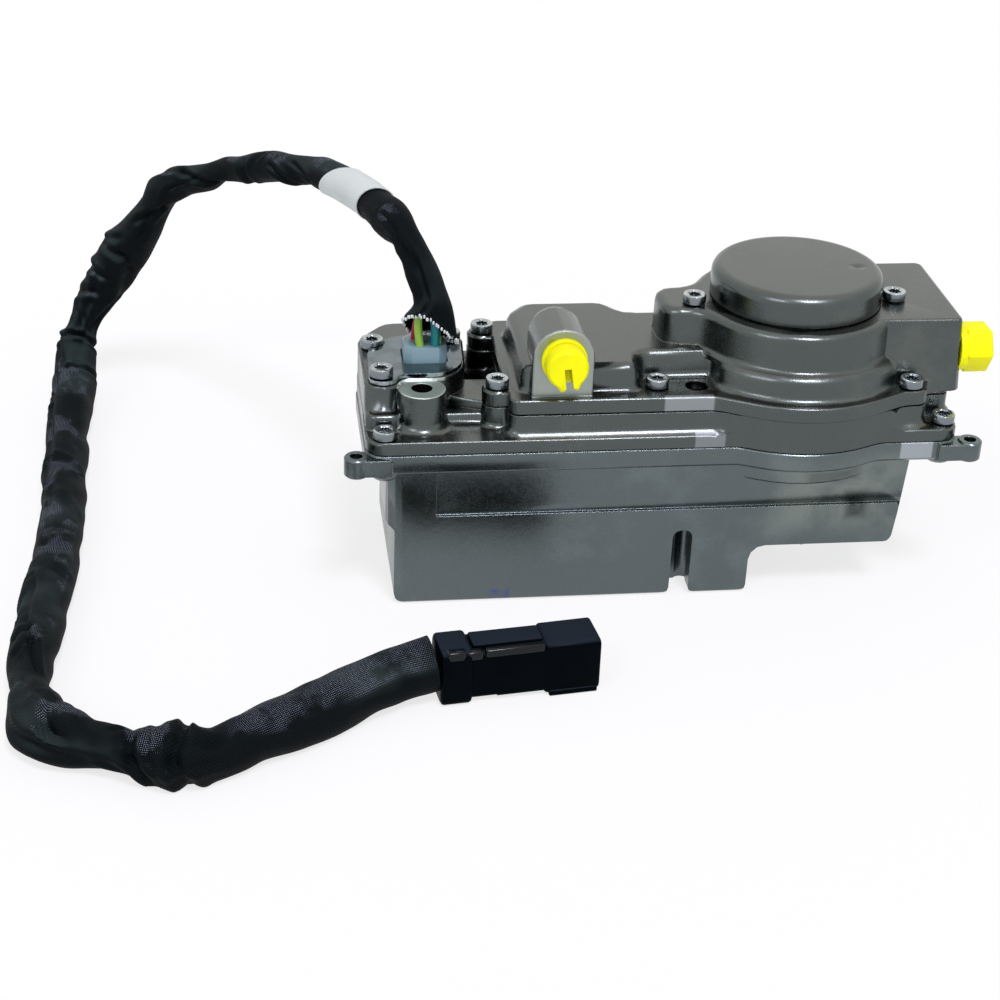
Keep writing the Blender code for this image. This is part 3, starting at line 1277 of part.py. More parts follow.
    route = [smooth_route(ROUTE, k / ROUTE_STEPS) for k in range(ROUTE_STEPS + 1)]
    add(tube("harness_sleeve", route, HARNESS_R), weave)
    band_r = HARNESS_R + 2 * SEAT
    label = sleeve_band("label_band", route, LABEL_FROM, LABEL_TO, band_r, band_r + LABEL_THICK)
    add(label, paper)
    mouth_z = ROUTE[0][2] - MOUTH_DROP
    for name, offset, finish in (("wire_red", -4.0, red), ("wire_green", -1.0, green), ("wire_teal", 3.0, teal)):
        top = Vector((ROUTE[0][0] + offset * 0.8, ROUTE[0][1] - 2.0, mouth_z))
        low = Vector((CONNECTOR_X + 1.0 + offset, CONNECTOR_Y - 2.0, CONNECTOR_TOP + SEAT))
        rise = Vector((0, 0, 0.8))
        add(tube(name, [low, low + rise, top - rise, top], WIRE_R), finish)
    add(harness_plug(), black)
    add(plug_lock(), black)


build()
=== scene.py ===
"""Turbocharger actuator with its wiring harness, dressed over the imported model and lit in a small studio."""
import json
import math

import bmesh
import bpy
import numpy as np
from bpy.props import FloatProperty, FloatVectorProperty, IntProperty, PointerProperty
from mathutils import Matrix, Vector


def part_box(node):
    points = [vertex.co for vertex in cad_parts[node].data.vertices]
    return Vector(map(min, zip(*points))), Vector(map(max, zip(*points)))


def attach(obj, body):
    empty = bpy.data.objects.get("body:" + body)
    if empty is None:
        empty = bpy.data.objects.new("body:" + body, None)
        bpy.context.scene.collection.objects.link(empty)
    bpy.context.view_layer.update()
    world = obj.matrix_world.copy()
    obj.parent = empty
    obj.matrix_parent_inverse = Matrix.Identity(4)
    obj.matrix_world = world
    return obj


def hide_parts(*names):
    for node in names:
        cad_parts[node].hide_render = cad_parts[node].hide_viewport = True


bl_info = {
    "name": "Turbocharger Actuator",
    "version": (1, 0, 0),
    "blender": (4, 5, 0),
    "location": "View3D > Sidebar > Actuator",
    "description": "Builds the castings, screws, plugs and wiring harness of a turbocharger actuator",
    "category": "Add Mesh",
}

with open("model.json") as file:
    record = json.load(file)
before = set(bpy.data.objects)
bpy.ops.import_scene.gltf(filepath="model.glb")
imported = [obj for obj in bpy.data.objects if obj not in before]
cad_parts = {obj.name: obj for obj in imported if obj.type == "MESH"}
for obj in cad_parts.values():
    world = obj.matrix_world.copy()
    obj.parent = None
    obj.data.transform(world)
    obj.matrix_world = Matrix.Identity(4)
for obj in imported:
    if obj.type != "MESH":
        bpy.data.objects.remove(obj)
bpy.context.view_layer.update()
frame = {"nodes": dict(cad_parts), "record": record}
NODES = frame["nodes"]
MM = 0.001
FULL_TURN = math.tau

# Route of the harness in metres, from its mouth above the connector to the plug
ROUTE = np.array([
    (-87.3, -3.8, 97.2), (-86.4, -3.8, 106.9), (-89.8, 0.4, 120.0), (-95.4, 11.3, 128.2),
    (-101.2, 27.8, 130.3), (-108.5, 49.1, 129.4), (-119.1, 70.7, 128.0), (-133.9, 91.6, 124.0),
    (-149.5, 110.8, 116.7), (-166.5, 127.7, 107.3), (-183.6, 140.6, 94.8), (-193.8, 149.4, 76.5),
    (-204.9, 155.6, 58.1), (-215.5, 156.2, 41.2), (-222.6, 148.2, 24.6), (-224.8, 127.2, 12.0),
    (-225.7, 95.0, 8.2), (-224.7, 52.9, 8.0), (-224.3, 12.5, 8.0), (-225.7, -24.3, 8.0),
    (-227.7, -54.9, 8.0), (-229.0, -83.6, 8.0), (-227.6, -105.6, 8.0), (-222.6, -119.3, 8.0),
    (-212.1, -127.2, 8.0), (-200.6, -132.0, 8.0), (-188.0, -135.9, 8.0), (-172.5, -137.7, 8.0),
    (-156.7, -130.2, 8.0), (-139.7, -119.6, 8.3), (-121.8, -107.8, 9.0), (-106.2, -98.8, 10.2),
    (-92.4, -96.3, 11.8),
]) * MM

# Thousandths of the route, then how far the cloth stands out on the inner and on the outer side of its bends,
# in tenths of a millimetre
EDGES = np.array([
    (0, 96, 98), (6, 80, 82), (12, 69, 73), (20, 63, 61), (30, 71, 56), (40, 56, 53), (50, 49, 57),
    (60, 69, 65), (70, 76, 67), (80, 73, 61), (90, 67, 61), (100, 65, 63), (150, 64, 62), (160, 52, 57),
    (180, 61, 57), (200, 64, 58), (220, 57, 55), (230, 47, 53), (240, 40, 49), (250, 62, 50), (260, 57, 59),
    (270, 51, 69), (280, 59, 76), (290, 64, 80), (300, 69, 59), (320, 83, 81), (340, 97, 104),
    (360, 97, 99), (370, 95, 78), (380, 79, 80), (390, 61, 79), (400, 53, 60), (408, 62, 89), (412, 69, 83),
    (420, 91, 80), (440, 92, 94), (460, 89, 85), (500, 84, 85), (600, 86, 82), (660, 88, 88), (720, 83, 85),
    (740, 74, 79), (750, 64, 75), (760, 64, 69), (770, 90, 67), (780, 109, 78), (790, 112, 106),
    (800, 114, 84), (812, 109, 81), (820, 85, 72), (840, 74, 65), (850, 101, 93), (860, 122, 106),
    (870, 103, 92), (880, 76, 92), (900, 96, 81), (920, 98, 97), (940, 98, 102), (960, 94, 98),
    (975, 94, 94), (985, 99, 92), (993, 106, 88), (1000, 110, 84),
]) / (1000, 10, 10)

# Creases of the cloth: thousandths of the route and degrees at each end, then depth and half width in tenths
# of a millimetre
CREASES = np.array([
    (46, -46, 36, -67, 14, 22), (44, -78, 6, -85, 7, 12), (46, -64, 62, -72, 9, 16), (40, 0, 18, 0, 5, 25),
    (186, -78, 170, 0, 10, 15), (168, -95, 154, -46, 9, 14), (212, -132, 212, 0, 9, 20),
    (198, -135, 204, -79, 6, 16), (288, -180, 266, -126, 9, 18), (266, -126, 242, -25, 12, 16),
    (274, -74, 256, -75, 7, 14), (310, -98, 292, -36, 11, 18), (292, -26, 278, -74, 6, 16),
    (320, -62, 304, -68, 8, 18), (344, -148, 338, -74, 13, 18), (340, -143, 330, -113, 7, 15),
    (364, -156, 360, -92, 13, 18), (382, -166, 374, -89, 11, 18), (344, -39, 374, 0, 10, 24),
    (374, 0, 402, -40, 10, 22), (334, -92, 344, -39, 8, 20), (366, -101, 382, -85, 7, 18),
    (410, -170, 408, -83, 16, 16), (408, -83, 412, 0, 14, 16), (400, -180, 406, -150, 10, 14),
    (392, -119, 404, -88, 9, 14), (394, -85, 404, -69, 8, 13), (436, -114, 436, 0, 9, 13),
    (418, -144, 436, -103, 7, 16), (416, -89, 434, -71, 5, 20), (438, -139, 538, -112, 8, 14),
    (540, -111, 554, -34, 12, 18), (458, -180, 456, -152, 9, 13), (476, -180, 472, -141, 8, 13),
    (522, -180, 516, -134, 9, 14), (544, -180, 540, -130, 8, 14), (572, -180, 566, -118, 11, 15),
    (458, -79, 526, -42, 6, 30), (562, -107, 638, -103, 6, 18), (586, -92, 602, -42, 8, 20),
    (638, -98, 644, -55, 9, 24), (662, -98, 668, -44, 9, 24), (668, -180, 652, -131, 8, 13),
    (686, -180, 670, -131, 8, 13), (698, -179, 684, -135, 8, 13), (718, -164, 702, -123, 8, 13),
    (670, -116, 712, -109, 9, 15), (712, -109, 732, -79, 9, 15), (732, -79, 754, -46, 12, 16),
    (726, -120, 720, -93, 10, 14), (738, -114, 732, -87, 10, 14), (760, -157, 768, -89, 6, 24),
    (800, -52, 806, -74, 18, 16), (806, -74, 812, -78, 14, 16), (784, -41, 804, 0, 10, 14),
    (768, -80, 796, -70, 9, 20), (782, -123, 800, -113, 9, 26), (800, -113, 820, -123, 8, 26),
    (824, -67, 838, -63, 6, 20), (832, -124, 840, -146, 7, 20), (842, -38, 844, -100, 18, 18),
    (844, -100, 852, -151, 16, 18), (852, 0, 858, -63, 10, 16), (866, 0, 862, -88, 19, 18),
    (862, -88, 868, -180, 19, 18), (848, -25, 850, -68, 8, 16), (872, -46, 876, -68, 8, 18),
    (834, -28, 840, 0, 8, 16), (878, -63, 892, -46, 8, 22), (904, 0, 932, -30, 4, 30),
    (944, -89, 956, -78, 4, 26), (964, -64, 994, -75, 4, 24),
]) / (1000, 1, 1000, 1, 10, 10)

# Mouth of the sleeve: degrees round it, then its cut edge's rise and flare in millimetres
MOUTH = np.array([
    (-180, -3.7, 1.6), (-160, -0.8, 0.8), (-140, 2.4, 0.0), (-120, 5.4, -0.4), (-100, 7.6, -0.8),
    (-80, 7.7, -0.8), (-60, 6.5, -0.8), (-40, 4.8, -0.8), (-20, 3.0, -0.8), (0, 1.2, -0.8),
    (20, -4.0, -0.8), (40, -5.8, -0.8), (100, -5.8, -0.8), (120, -5.8, -0.4), (140, -5.8, 0.0),
    (160, -5.8, 0.8), (180, -3.7, 1.6),
])

# The sleeve: points along it and round it, then its mean radius, the furthest its cloth reaches from the
# route and its lift off the floor, in metres
SLEEVE_ROWS = 1300
SLEEVE_STEPS = 80
SLEEVE_RADIUS = 0.0088
SLEEVE_REACH = 0.0129
SLEEVE_LIFT = 0.0003

# Axis of the front coolant port in millimetres, and where the in-line plug and the camera are
PORT_X = -41.4
PLUG_PLACE = Matrix.Translation((-0.0914, -0.0964, 0)) @ Matrix.Rotation(math.radians(7), 4, "Z")
CAMERA_PLACE = Matrix.Translation((-0.15946, -0.70011, 0.41126))

# New surfaces stay crisp where their faces turn by more than this, in degrees
CRISP_ANGLE = 35


# Mesh helpers


def metres(values):
    """Millimetres as metres."""
    return tuple(value * MM for value in values)


def middle_of(low, high):
    """Middle between two corners."""
    return (np.array(low) + np.array(high)) / 2


def mesh_piece(name, points, faces):
    """Object at the origin from an array of points and a list of faces."""
    mesh = bpy.data.meshes.new(name)
    mesh.from_pydata(np.asarray(points, dtype=float).reshape(-1, 3), [], faces)
    mesh.update()
    piece = bpy.data.objects.new(name, mesh)
    bpy.context.scene.collection.objects.link(piece)
    return piece


def grid_faces(rows, columns, wrap_rows=False, start=0):
    """Quads between the neighbours of a grid whose columns close, and its rows too where wrap_rows is set."""
    i, j = np.meshgrid(np.arange(rows if wrap_rows else rows - 1), np.arange(columns), indexing="ij")
    i, j = i.ravel(), j.ravel()
    down, across = (i + 1) % rows, (j + 1) % columns
    corners = (i * columns + j, i * columns + across, down * columns + across, down * columns + j)
    return (np.stack(corners, axis=1) + start).tolist()


def surface(name, grid, wrap_rows=False, caps=True):
    """Surface over a grid of points (rows, columns, 3), its first and last rows filled where caps is set."""
    rows, columns = grid.shape[:2]
    faces = grid_faces(rows, columns, wrap_rows)
    if caps and not wrap_rows:
        faces.append(list(range(columns))[::-1])
        faces.append([(rows - 1) * columns + k for k in range(columns)])
    piece = mesh_piece(name, grid, faces)
    tidy_normals(piece)
    return piece


def tidy_normals(piece):
    """Merge doubles, point every face outwards, shade smooth and keep the crisp edges."""
    model = bmesh.new()
    model.from_mesh(piece.data)
    bmesh.ops.remove_doubles(model, verts=model.verts, dist=0.0005 * MM)
    bmesh.ops.recalc_face_normals(model, faces=model.faces)
    model.to_mesh(piece.data)
    model.free()
    piece.data.shade_smooth()
    piece.data.set_sharp_from_angle(angle=math.radians(CRISP_ANGLE))


def place(piece, matrix):
    """Write a placement into the piece's mesh, so that its object stays at the origin."""
    piece.data.transform(matrix)
    piece.data.update()
    return piece


def fuse_meshes(body, others):
    """Carry other pieces' meshes into one piece and remove them."""
    model = bmesh.new()
    model.from_mesh(body.data)
    for other in others:
        model.from_mesh(other.data)
        bpy.data.objects.remove(other)
    model.to_mesh(body.data)
    model.free()
    body.data.set_sharp_from_angle(angle=math.radians(CRISP_ANGLE))
    return body


def merged_copy(node, name, crisp_angle):
    """Copy of a CAD node's mesh, its doubles merged, its flat faces whole, smooth up to the crisp angle."""
    mesh = NODES[node].data.copy()
    mesh.materials.clear()
    piece = bpy.data.objects.new(name, mesh)
    bpy.context.scene.collection.objects.link(piece)
    model = bmesh.new()
    model.from_mesh(mesh)
    bmesh.ops.remove_doubles(model, verts=model.verts, dist=0.001 * MM)
    bmesh.ops.dissolve_limit(model, angle_limit=math.radians(0.5), verts=model.verts, edges=model.edges)
    model.to_mesh(mesh)
    model.free()
    mesh.shade_smooth()
    mesh.set_sharp_from_angle(angle=math.radians(crisp_angle))
    return piece


def softened_copy(node, name, width, finish):
    """Merged copy of a CAD node in its place, with a small bevel on its edges, width in millimetres."""
    piece = merged_copy(node, name, 40)
    edge = piece.modifiers.new("Edges", "BEVEL")
    edge.width = width * MM
    edge.segments = 3
    edge.limit_method = "ANGLE"
    edge.angle_limit = math.radians(30)
    edge.harden_normals = True
    piece.data.materials.append(finish)
    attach(piece, body_holding(node))
    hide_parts(node)
    return piece


def body_holding(node):
    """Name of the body that carries a node."""
    bodies = frame["record"]["behaviour"]["bodies"]
    return next(name for name, members in bodies.items() if node in members)


def turned(profile, steps=64, radius_factor=None):
    """Points of a turned shape: (r cos a, r sin a, z) for each (r, z) of the profile and each angle a.

    radius_factor, one row per profile point and one column per angle, multiplies r for lobes and flats.
    """
    profile = np.asarray(profile, dtype=float)
    angle = np.arange(steps) * FULL_TURN / steps
    radius = profile[:, :1] * np.ones((1, steps))
    if radius_factor is not None:
        radius = radius * radius_factor
    height = profile[:, 1:2] * np.ones((1, steps))
    return np.stack([radius * np.cos(angle), radius * np.sin(angle), height], axis=2)


def rounded_box_ring(half_x, half_y, radius, steps):
    """Outline of a rectangle with round corners: each corner's centre plus radius (cos a, sin a)."""
    quarter = np.linspace(0, math.pi / 2, steps + 1)
    rings = []
    for k, (sx, sy) in enumerate(((1, 1), (-1, 1), (-1, -1), (1, -1))):
        angle = quarter + k * math.pi / 2
        centre = np.array([sx * (half_x - radius), sy * (half_y - radius)])
        rings.append(centre + radius * np.stack([np.cos(angle), np.sin(angle)], axis=1))
    return np.concatenate(rings)


def box_stack(layers, steps=6):
    """Grid of rounded rectangles, one for each (height, half_x, half_y, radius)."""
    rings = []
    for height, half_x, half_y, radius in layers:
        flat = rounded_box_ring(half_x, half_y, radius, steps)
        rings.append(np.column_stack([flat, np.full(len(flat), height)]))
    return np.stack(rings)


def smooth_path(points, count):
    """Evenly counted points on the Catmull-Rom curve through the given ones."""
    padded = np.vstack([points[0], points, points[-1]])
    place_on = np.linspace(0, len(points) - 1, count)
    index = np.minimum(place_on.astype(int), len(points) - 2)
    t = (place_on - index)[:, None]
    p0, p1, p2, p3 = (padded[index + k] for k in range(4))
    return 0.5 * (2 * p1 + (p2 - p0) * t + (2 * p0 - 5 * p1 + 4 * p2 - p3) * t ** 2
                  + (3 * p1 - p0 - 3 * p2 + p3) * t ** 3)


def even_path(points, count):
    """Points at equal distances along the smooth curve through the given ones."""
    fine = smooth_path(points, 2000)
    run = np.concatenate([[0], np.cumsum(np.linalg.norm(np.diff(fine, axis=0), axis=1))])
    wanted = np.linspace(0, run[-1], count)
    return np.stack([np.interp(wanted, run, fine[:, k]) for k in range(3)], axis=1), run[-1]


def looking(stage):
    """Unit vector along the camera's axis, from its yaw and pitch in degrees."""
    yaw, pitch = math.radians(stage.yaw), math.radians(stage.pitch)
    return np.array([math.sin(yaw) * math.cos(pitch), math.cos(yaw) * math.cos(pitch), -math.sin(pitch)])


def path_frames(path, view):
    """Across and away direction at each point: across is square to both the path and the view."""
    tangent = np.gradient(path, axis=0)
    tangent /= np.linalg.norm(tangent, axis=1)[:, None]
    across = np.cross(tangent, view)
    across /= np.linalg.norm(across, axis=1)[:, None]
    return across, np.cross(across, tangent)


def eased(values, reach):
    """Values smoothed along the first axis with a bell curve of the given number of rows."""
    weight = np.exp(-np.linspace(-2, 2, 4 * reach + 1) ** 2)
    padded = np.pad(values, 2 * reach, mode="edge")
    return np.convolve(padded, weight / weight.sum(), mode="valid")


# Material helpers


def put_node(tree, kind, inputs=None, **settings):
    """Add a shader node; inputs are numbers, colours or the sockets that feed it."""
    node = tree.nodes.new("ShaderNode" + kind)
    for key, value in settings.items():
        setattr(node, key, value)
    for key, value in (inputs or {}).items():
        if isinstance(value, bpy.types.NodeSocket):
            tree.links.new(value, node.inputs[key])
        else:
            node.inputs[key].default_value = value
    return node


def shade(colour, factor):
    """Colour made darker or lighter by a factor."""
    return tuple(value * factor for value in colour)


class Finish:
    """A Principled material with short calls for adding and joining nodes."""

    def __init__(self, name, colour, roughness, metallic=0.0):
        self.material = bpy.data.materials.new(name)
        self.material.use_nodes = True
        self.tree = self.material.node_tree
        self.shader = self.tree.nodes["Principled BSDF"]
        self.constant("Base Color", (*colour, 1))
        self.constant("Roughness", roughness)
        self.constant("Metallic", metallic)
        self.place = self.put("TexCoord").outputs["Object"]

    def constant(self, name, value):
        """Set one of the shader's own sockets."""
        self.shader.inputs[name].default_value = value

    def feed(self, **sockets):
        """Join sockets to the shader: colour, roughness, normal."""
        names = {"colour": "Base Color", "roughness": "Roughness", "normal": "Normal"}
        for key, socket in sockets.items():
            self.tree.links.new(socket, self.shader.inputs[names[key]])

    def put(self, kind, inputs=None, **settings):
        """Add a node to this material."""
        return put_node(self.tree, kind, inputs, **settings)

    def noise(self, scale, detail=3.0, rough=0.55):
        """Noise value, scale in cells per metre."""
        inputs = {"Vector": self.place, "Scale": scale, "Detail": detail, "Roughness": rough}
        return self.put("TexNoise", inputs).outputs[0]

    def span(self, value, low, high, to_low=0.0, to_high=1.0):
        """Map low to high onto to_low to to_high, smooth at both ends."""
        inputs = {"Value": value, "From Min": low, "From Max": high, "To Min": to_low, "To Max": to_high}
        return self.put("MapRange", inputs, interpolation_type="SMOOTHSTEP").outputs["Result"]

    def mix(self, factor, first, second):
        """Blend two colours or colour sockets."""
        first, second = (
            value if isinstance(value, bpy.types.NodeSocket) else (*value, 1) for value in (first, second)
        )
        return self.put("Mix", {0: factor, 6: first, 7: second}, data_type="RGBA").outputs[2]

    def math(self, operation, first, second):
        """One arithmetic step on values or sockets."""
        return self.put("Math", {0: first, 1: second}, operation=operation).outputs[0]

    def times(self, first, second):
        """Product of values or sockets."""
        return self.math("MULTIPLY", first, second)

    def vector(self, operation, *inputs):
        """One arithmetic step on vectors."""
        return self.put("VectorMath", dict(enumerate(inputs)), operation=operation).outputs[0]

    def upward(self):
        """How far the surface faces up, from -1 to 1."""
        return self.put("SeparateXYZ", {0: self.put("NewGeometry").outputs["Normal"]}).outputs[2]

    def patch(self, centre, half, soft=0.06):
        """Mask that is 1 inside a box given in millimetres and 0 outside it."""
        away = self.vector("ABSOLUTE", self.vector("SUBTRACT", self.place, metres(centre)))
        parts = self.put("SeparateXYZ", {0: self.vector("DIVIDE", away, metres(half))}).outputs
        most = self.math("MAXIMUM", self.math("MAXIMUM", parts[0], parts[1]), parts[2])
        return self.span(most, 1 + soft, 1 - soft)

    def bump(self, height, distance, strength=1.0, normal=None):
        """Bump from a height value, distance in metres."""
        inputs = {"Height": height, "Distance": distance, "Strength": strength}
        if normal:
            inputs["Normal"] = normal
        return self.put("Bump", inputs).outputs["Normal"]

    def soft_edges(self, radius, samples=4):
        """Normal that rounds off the edges, radius in millimetres."""
        return self.put("Bevel", {"Radius": radius * MM}, samples=samples).outputs["Normal"]


def cast_finish(name, top, side, patches=(), blotches=(), painted_shade=None):
    """Sand-cast aluminium: painted light and shade that make upward faces lighter than upright ones, grain and
    flow marks, then darker and lighter blotches, milled patches and one place painted near black as painted
    shade.

    Blotches and patches are (centre, half size, colour), and the painted shade place is (centre, half size),
    all in millimetres.
    """
    finish = Finish(name, top, 0.30, metallic=1.0)
    grain = finish.noise(1500, 4.0, 0.7)
    flow = finish.noise(38, 4.0, 0.6)
    cloud = finish.noise(14, 3.0, 0.5)
    # Painted light and shade: upward faces take the lighter top colour, upright faces the darker side colour.
    colour = finish.mix(finish.span(finish.upward(), 0.6, 1.0), side, top)
    colour = finish.mix(finish.span(cloud, 0.46, 0.74, 0.0, 0.2), colour, shade(side, 0.72))
    colour = finish.mix(finish.span(flow, 0.50, 0.72, 0.0, 0.35), colour, shade(top, 1.3))
    colour = finish.mix(finish.span(grain, 0.35, 0.65, 0.0, 0.22), colour, shade(top, 0.62))
    rough = finish.span(flow, 0.3, 0.7, 0.20, 0.30)
    rough = finish.math("ADD", rough, finish.span(grain, 0.3, 0.7, -0.03, 0.05))
    # Blotches, darker or lighter, each broken up by the flow noise.
    for centre, half, tint in blotches:
        blotch = finish.times(finish.patch(centre, half, 0.5), finish.span(flow, 0.35, 0.6))
        colour = finish.mix(blotch, colour, tint)
    for centre, half, tint in patches:
        milled = finish.times(finish.patch(centre, half), 0.9)
        colour = finish.mix(milled, colour, tint)
        rough = finish.math("ADD", rough, finish.times(milled, 0.2))
    # Painted shade: the given place is painted near black.
    if painted_shade:
        colour = finish.mix(finish.patch(*painted_shade, soft=0.12), colour, (0.004, 0.004, 0.005))
    soft = finish.soft_edges(0.55, samples=6)
    normal = finish.bump(finish.noise(420, 3.0, 0.6), 0.00006, 0.5, soft)
    normal = finish.bump(grain, 0.00002, 0.6, normal)
    finish.feed(colour=colour, roughness=rough, normal=normal)
    return finish.material


def plated_finish(name, top, side, roughness, scratch=0.06):
    """Zinc-plated or ground steel with fine brushing, a faint cloud in its tint, and painted light and shade
    that give upward and upright faces different colours.
    """
    finish = Finish(name, top, roughness, metallic=1.0)
    cloud = finish.noise(120)
    fine = finish.noise(2600, 2.0)
    # Painted light and shade: upward faces take the top colour and upright faces the side colour.
    colour = finish.mix(finish.span(finish.upward(), 0.1, 0.9), side, top)
    finish.feed(
        colour=finish.mix(finish.span(cloud, 0.4, 0.65, 0.0, 0.5), colour, shade(side, 0.8)),
        roughness=finish.span(fine, 0.3, 0.7, roughness - scratch, roughness + scratch),
        normal=finish.bump(fine, 0.00001, 0.5, finish.soft_edges(0.18)),
    )
    return finish.material


def moulded_finish(name, colour, roughness, speckle=0.12, radius=0.25, gloss=0.5, top=None):
    """Moulded plastic with slightly uneven gloss, softened edges and, if a top colour is given, a painted
    sheen on its upward faces.
    """
    finish = Finish(name, colour, roughness)
    finish.constant("Specular IOR Level", gloss)
    cloud = finish.noise(90)
    fine = finish.noise(1700, 2.0)
    shaded = finish.mix(finish.span(cloud, 0.4, 0.65), colour, shade(colour, 1 - speckle))
    finish.feed(
        # Painted sheen: upward faces blend into the top colour.
        colour=finish.mix(finish.span(finish.upward(), 0.5, 0.95), shaded, top) if top else shaded,
        roughness=finish.span(fine, 0.3, 0.7, roughness - 0.05, roughness + 0.08),
        normal=finish.bump(fine, 0.00003, 0.5, finish.soft_edges(radius)),
    )
    return finish.material


def weave_finish(name, colour):
    """Braided sleeve: two crossing sets of threads on the tube's UV, with a painted sheen in patches where the
    cloth faces up and painted glints on the thread crowns there.
    """
    finish = Finish(name, colour, 0.45)
    finish.constant("Specular IOR Level", 0.06)
    uv = finish.put("UVMap", uv_map="UVMap").outputs[0]
    along, around = finish.put("SeparateXYZ", {0: uv}).outputs[:2]
    waves = []
    for sign in (1, -1):
        slant = finish.math("ADD", along, finish.times(around, sign))
        waves.append(finish.math("SINE", finish.times(slant, FULL_TURN), 0.0))
    height = finish.math("MAXIMUM", *waves)
    crown = finish.span(finish.times(*waves), 0.62, 0.98)
    cloth = finish.noise(46, 4.0, 0.6)
    sheen_patches = finish.noise(24, 3.0, 0.5)
    # Painted sheen: where the cloth faces up, patches of it are painted a lighter grey-green.
    lit = finish.span(finish.upward(), 0.1, 0.95)
    sheen = finish.times(lit, finish.span(sheen_patches, 0.42, 0.60))
    # Painted glints: thread crowns facing up, in the front run and in patches of the cloth, are painted a
    # light blue-grey.
    front_run = finish.patch((-128, -112, 15), (33, 26, 14), 0.2)
    front_run = finish.times(front_run, finish.span(cloth, 0.40, 0.52))
    shown = finish.math("MAXIMUM", finish.span(cloth, 0.54, 0.62), front_run)
    sparkle = finish.times(finish.times(crown, shown), finish.span(lit, 0.45, 0.85))
    finish.feed(
        colour=finish.mix(sparkle, finish.mix(sheen, colour, (0.020, 0.031, 0.030)), (0.42, 0.46, 0.60)),
        roughness=finish.math("SUBTRACT", 0.62, finish.times(sparkle, 0.35)),
        normal=finish.bump(height, 0.00022, 0.7, finish.bump(cloth, 0.0004, 0.35)),
    )
    return finish.material


def clear_finish(name, colour):
    """Milky translucent plastic."""
    finish = Finish(name, colour, 0.22)
    finish.constant("Transmission Weight", 0.3)
    finish.constant("IOR", 1.46)
    finish.constant("Subsurface Weight", 0.2)
    finish.constant("Subsurface Radius", (0.002, 0.003, 0.004))
    finish.feed(normal=finish.bump(finish.noise(500, 2.0), 0.00003, 0.5))
    return finish.material


def white_to_the_eye(tree, lit, shown, share, output):
    """Blend a lit shader with a white one by a share, for rays from the camera, mirrors and clear things."""
    rays = put_node(tree, "LightPath").outputs
    seen = rays["Is Camera Ray"]
    for ray in ("Is Glossy Ray", "Is Transmission Ray"):
        seen = put_node(tree, "Math", {0: seen, 1: rays[ray]}, operation="MAXIMUM").outputs[0]
    seen = put_node(tree, "Math", {0: seen, 1: share}, operation="MULTIPLY").outputs[0]
    tree.links.new(put_node(tree, "MixShader", {0: seen, 1: lit, 2: shown}).outputs[0], output)


def floor_finish(name, level, share):
    """Pale studio floor, whose own white shows through the light that falls on it."""
    finish = Finish(name, level, 0.85)
    finish.constant("Specular IOR Level", 0.1)
    finish.feed(colour=finish.mix(finish.noise(60, 2.0), level, shade(level, 0.99)))
    white = finish.put("Emission", {"Color": (1, 1, 1, 1), "Strength": 1.0}).outputs[0]
    output = finish.tree.nodes["Material Output"].inputs["Surface"]
    white_to_the_eye(finish.tree, finish.shader.outputs[0], white, share, output)
    return finish.material


# Properties


def tint(name, description, default):
    """Colour setting."""
    return FloatVectorProperty(name=name, description=description, default=default, subtype="COLOR")


def size(name, description, default):
    """Setting in metres."""
    return FloatProperty(name=name, description=description, default=default, subtype="DISTANCE")


def number(name, description, default):
    """Plain setting."""
    return FloatProperty(name=name, description=description, default=default)


class CastingSizes(bpy.types.PropertyGroup):
    """Colours of the castings, upward faces lighter than upright ones as painted light and shade."""

    top: tint("Upward faces", "Colour of the upward cast faces", (0.130, 0.138, 0.126))
    side: tint("Upright faces", "Colour of the upright cast faces", (0.092, 0.108, 0.106))
    base: tint("Base faces", "Colour of the base casting's sides", (0.120, 0.144, 0.148))


class ScrewSizes(bpy.types.PropertyGroup):
    """Sizes of the cylinder-head screws."""

    head_radius: size("Head radius", "Radius of the head", 0.00425)
    head_height: size("Head height", "Height of the head", 0.0037)
    shank_radius: size("Shank radius", "Radius of the shank", 0.0025)
    recess_radius: size("Recess radius", "Tip radius of the recess", 0.0024)
    lobes: IntProperty(name="Lobes", description="Number of lobes in the recess", default=6)


class HarnessSizes(bpy.types.PropertyGroup):
    """Sizes of the woven harness."""

    length: size("Length", "Length along the centre line", 0.71)
    diameter: size("Diameter", "Nominal outer diameter", 0.0175)
    thread: size("Thread spacing", "Spacing of the braid", 0.0012)
    colour: tint("Colour", "Colour of the braid", (0.0022, 0.0042, 0.0052))


class StageSizes(bpy.types.PropertyGroup):
    """Camera and light levels."""

    lens: number("Lens", "Focal length in millimetres", 76.02)
    pitch: number("Pitch", "How far the camera looks down, in degrees", 28.7794)
    yaw: number("Yaw", "How far the camera looks to the right, in degrees", 8.2765)
    roll: number("Roll", "Roll of the camera, in degrees", 2.26526)
    sky: number("Sky", "Strength of the even light", 0.55)
    key: number("Key", "Strength of the lamp above the front", 1.8)
    side: number("Side", "Strength of the lamp at the left front", 0.5)


# Operators


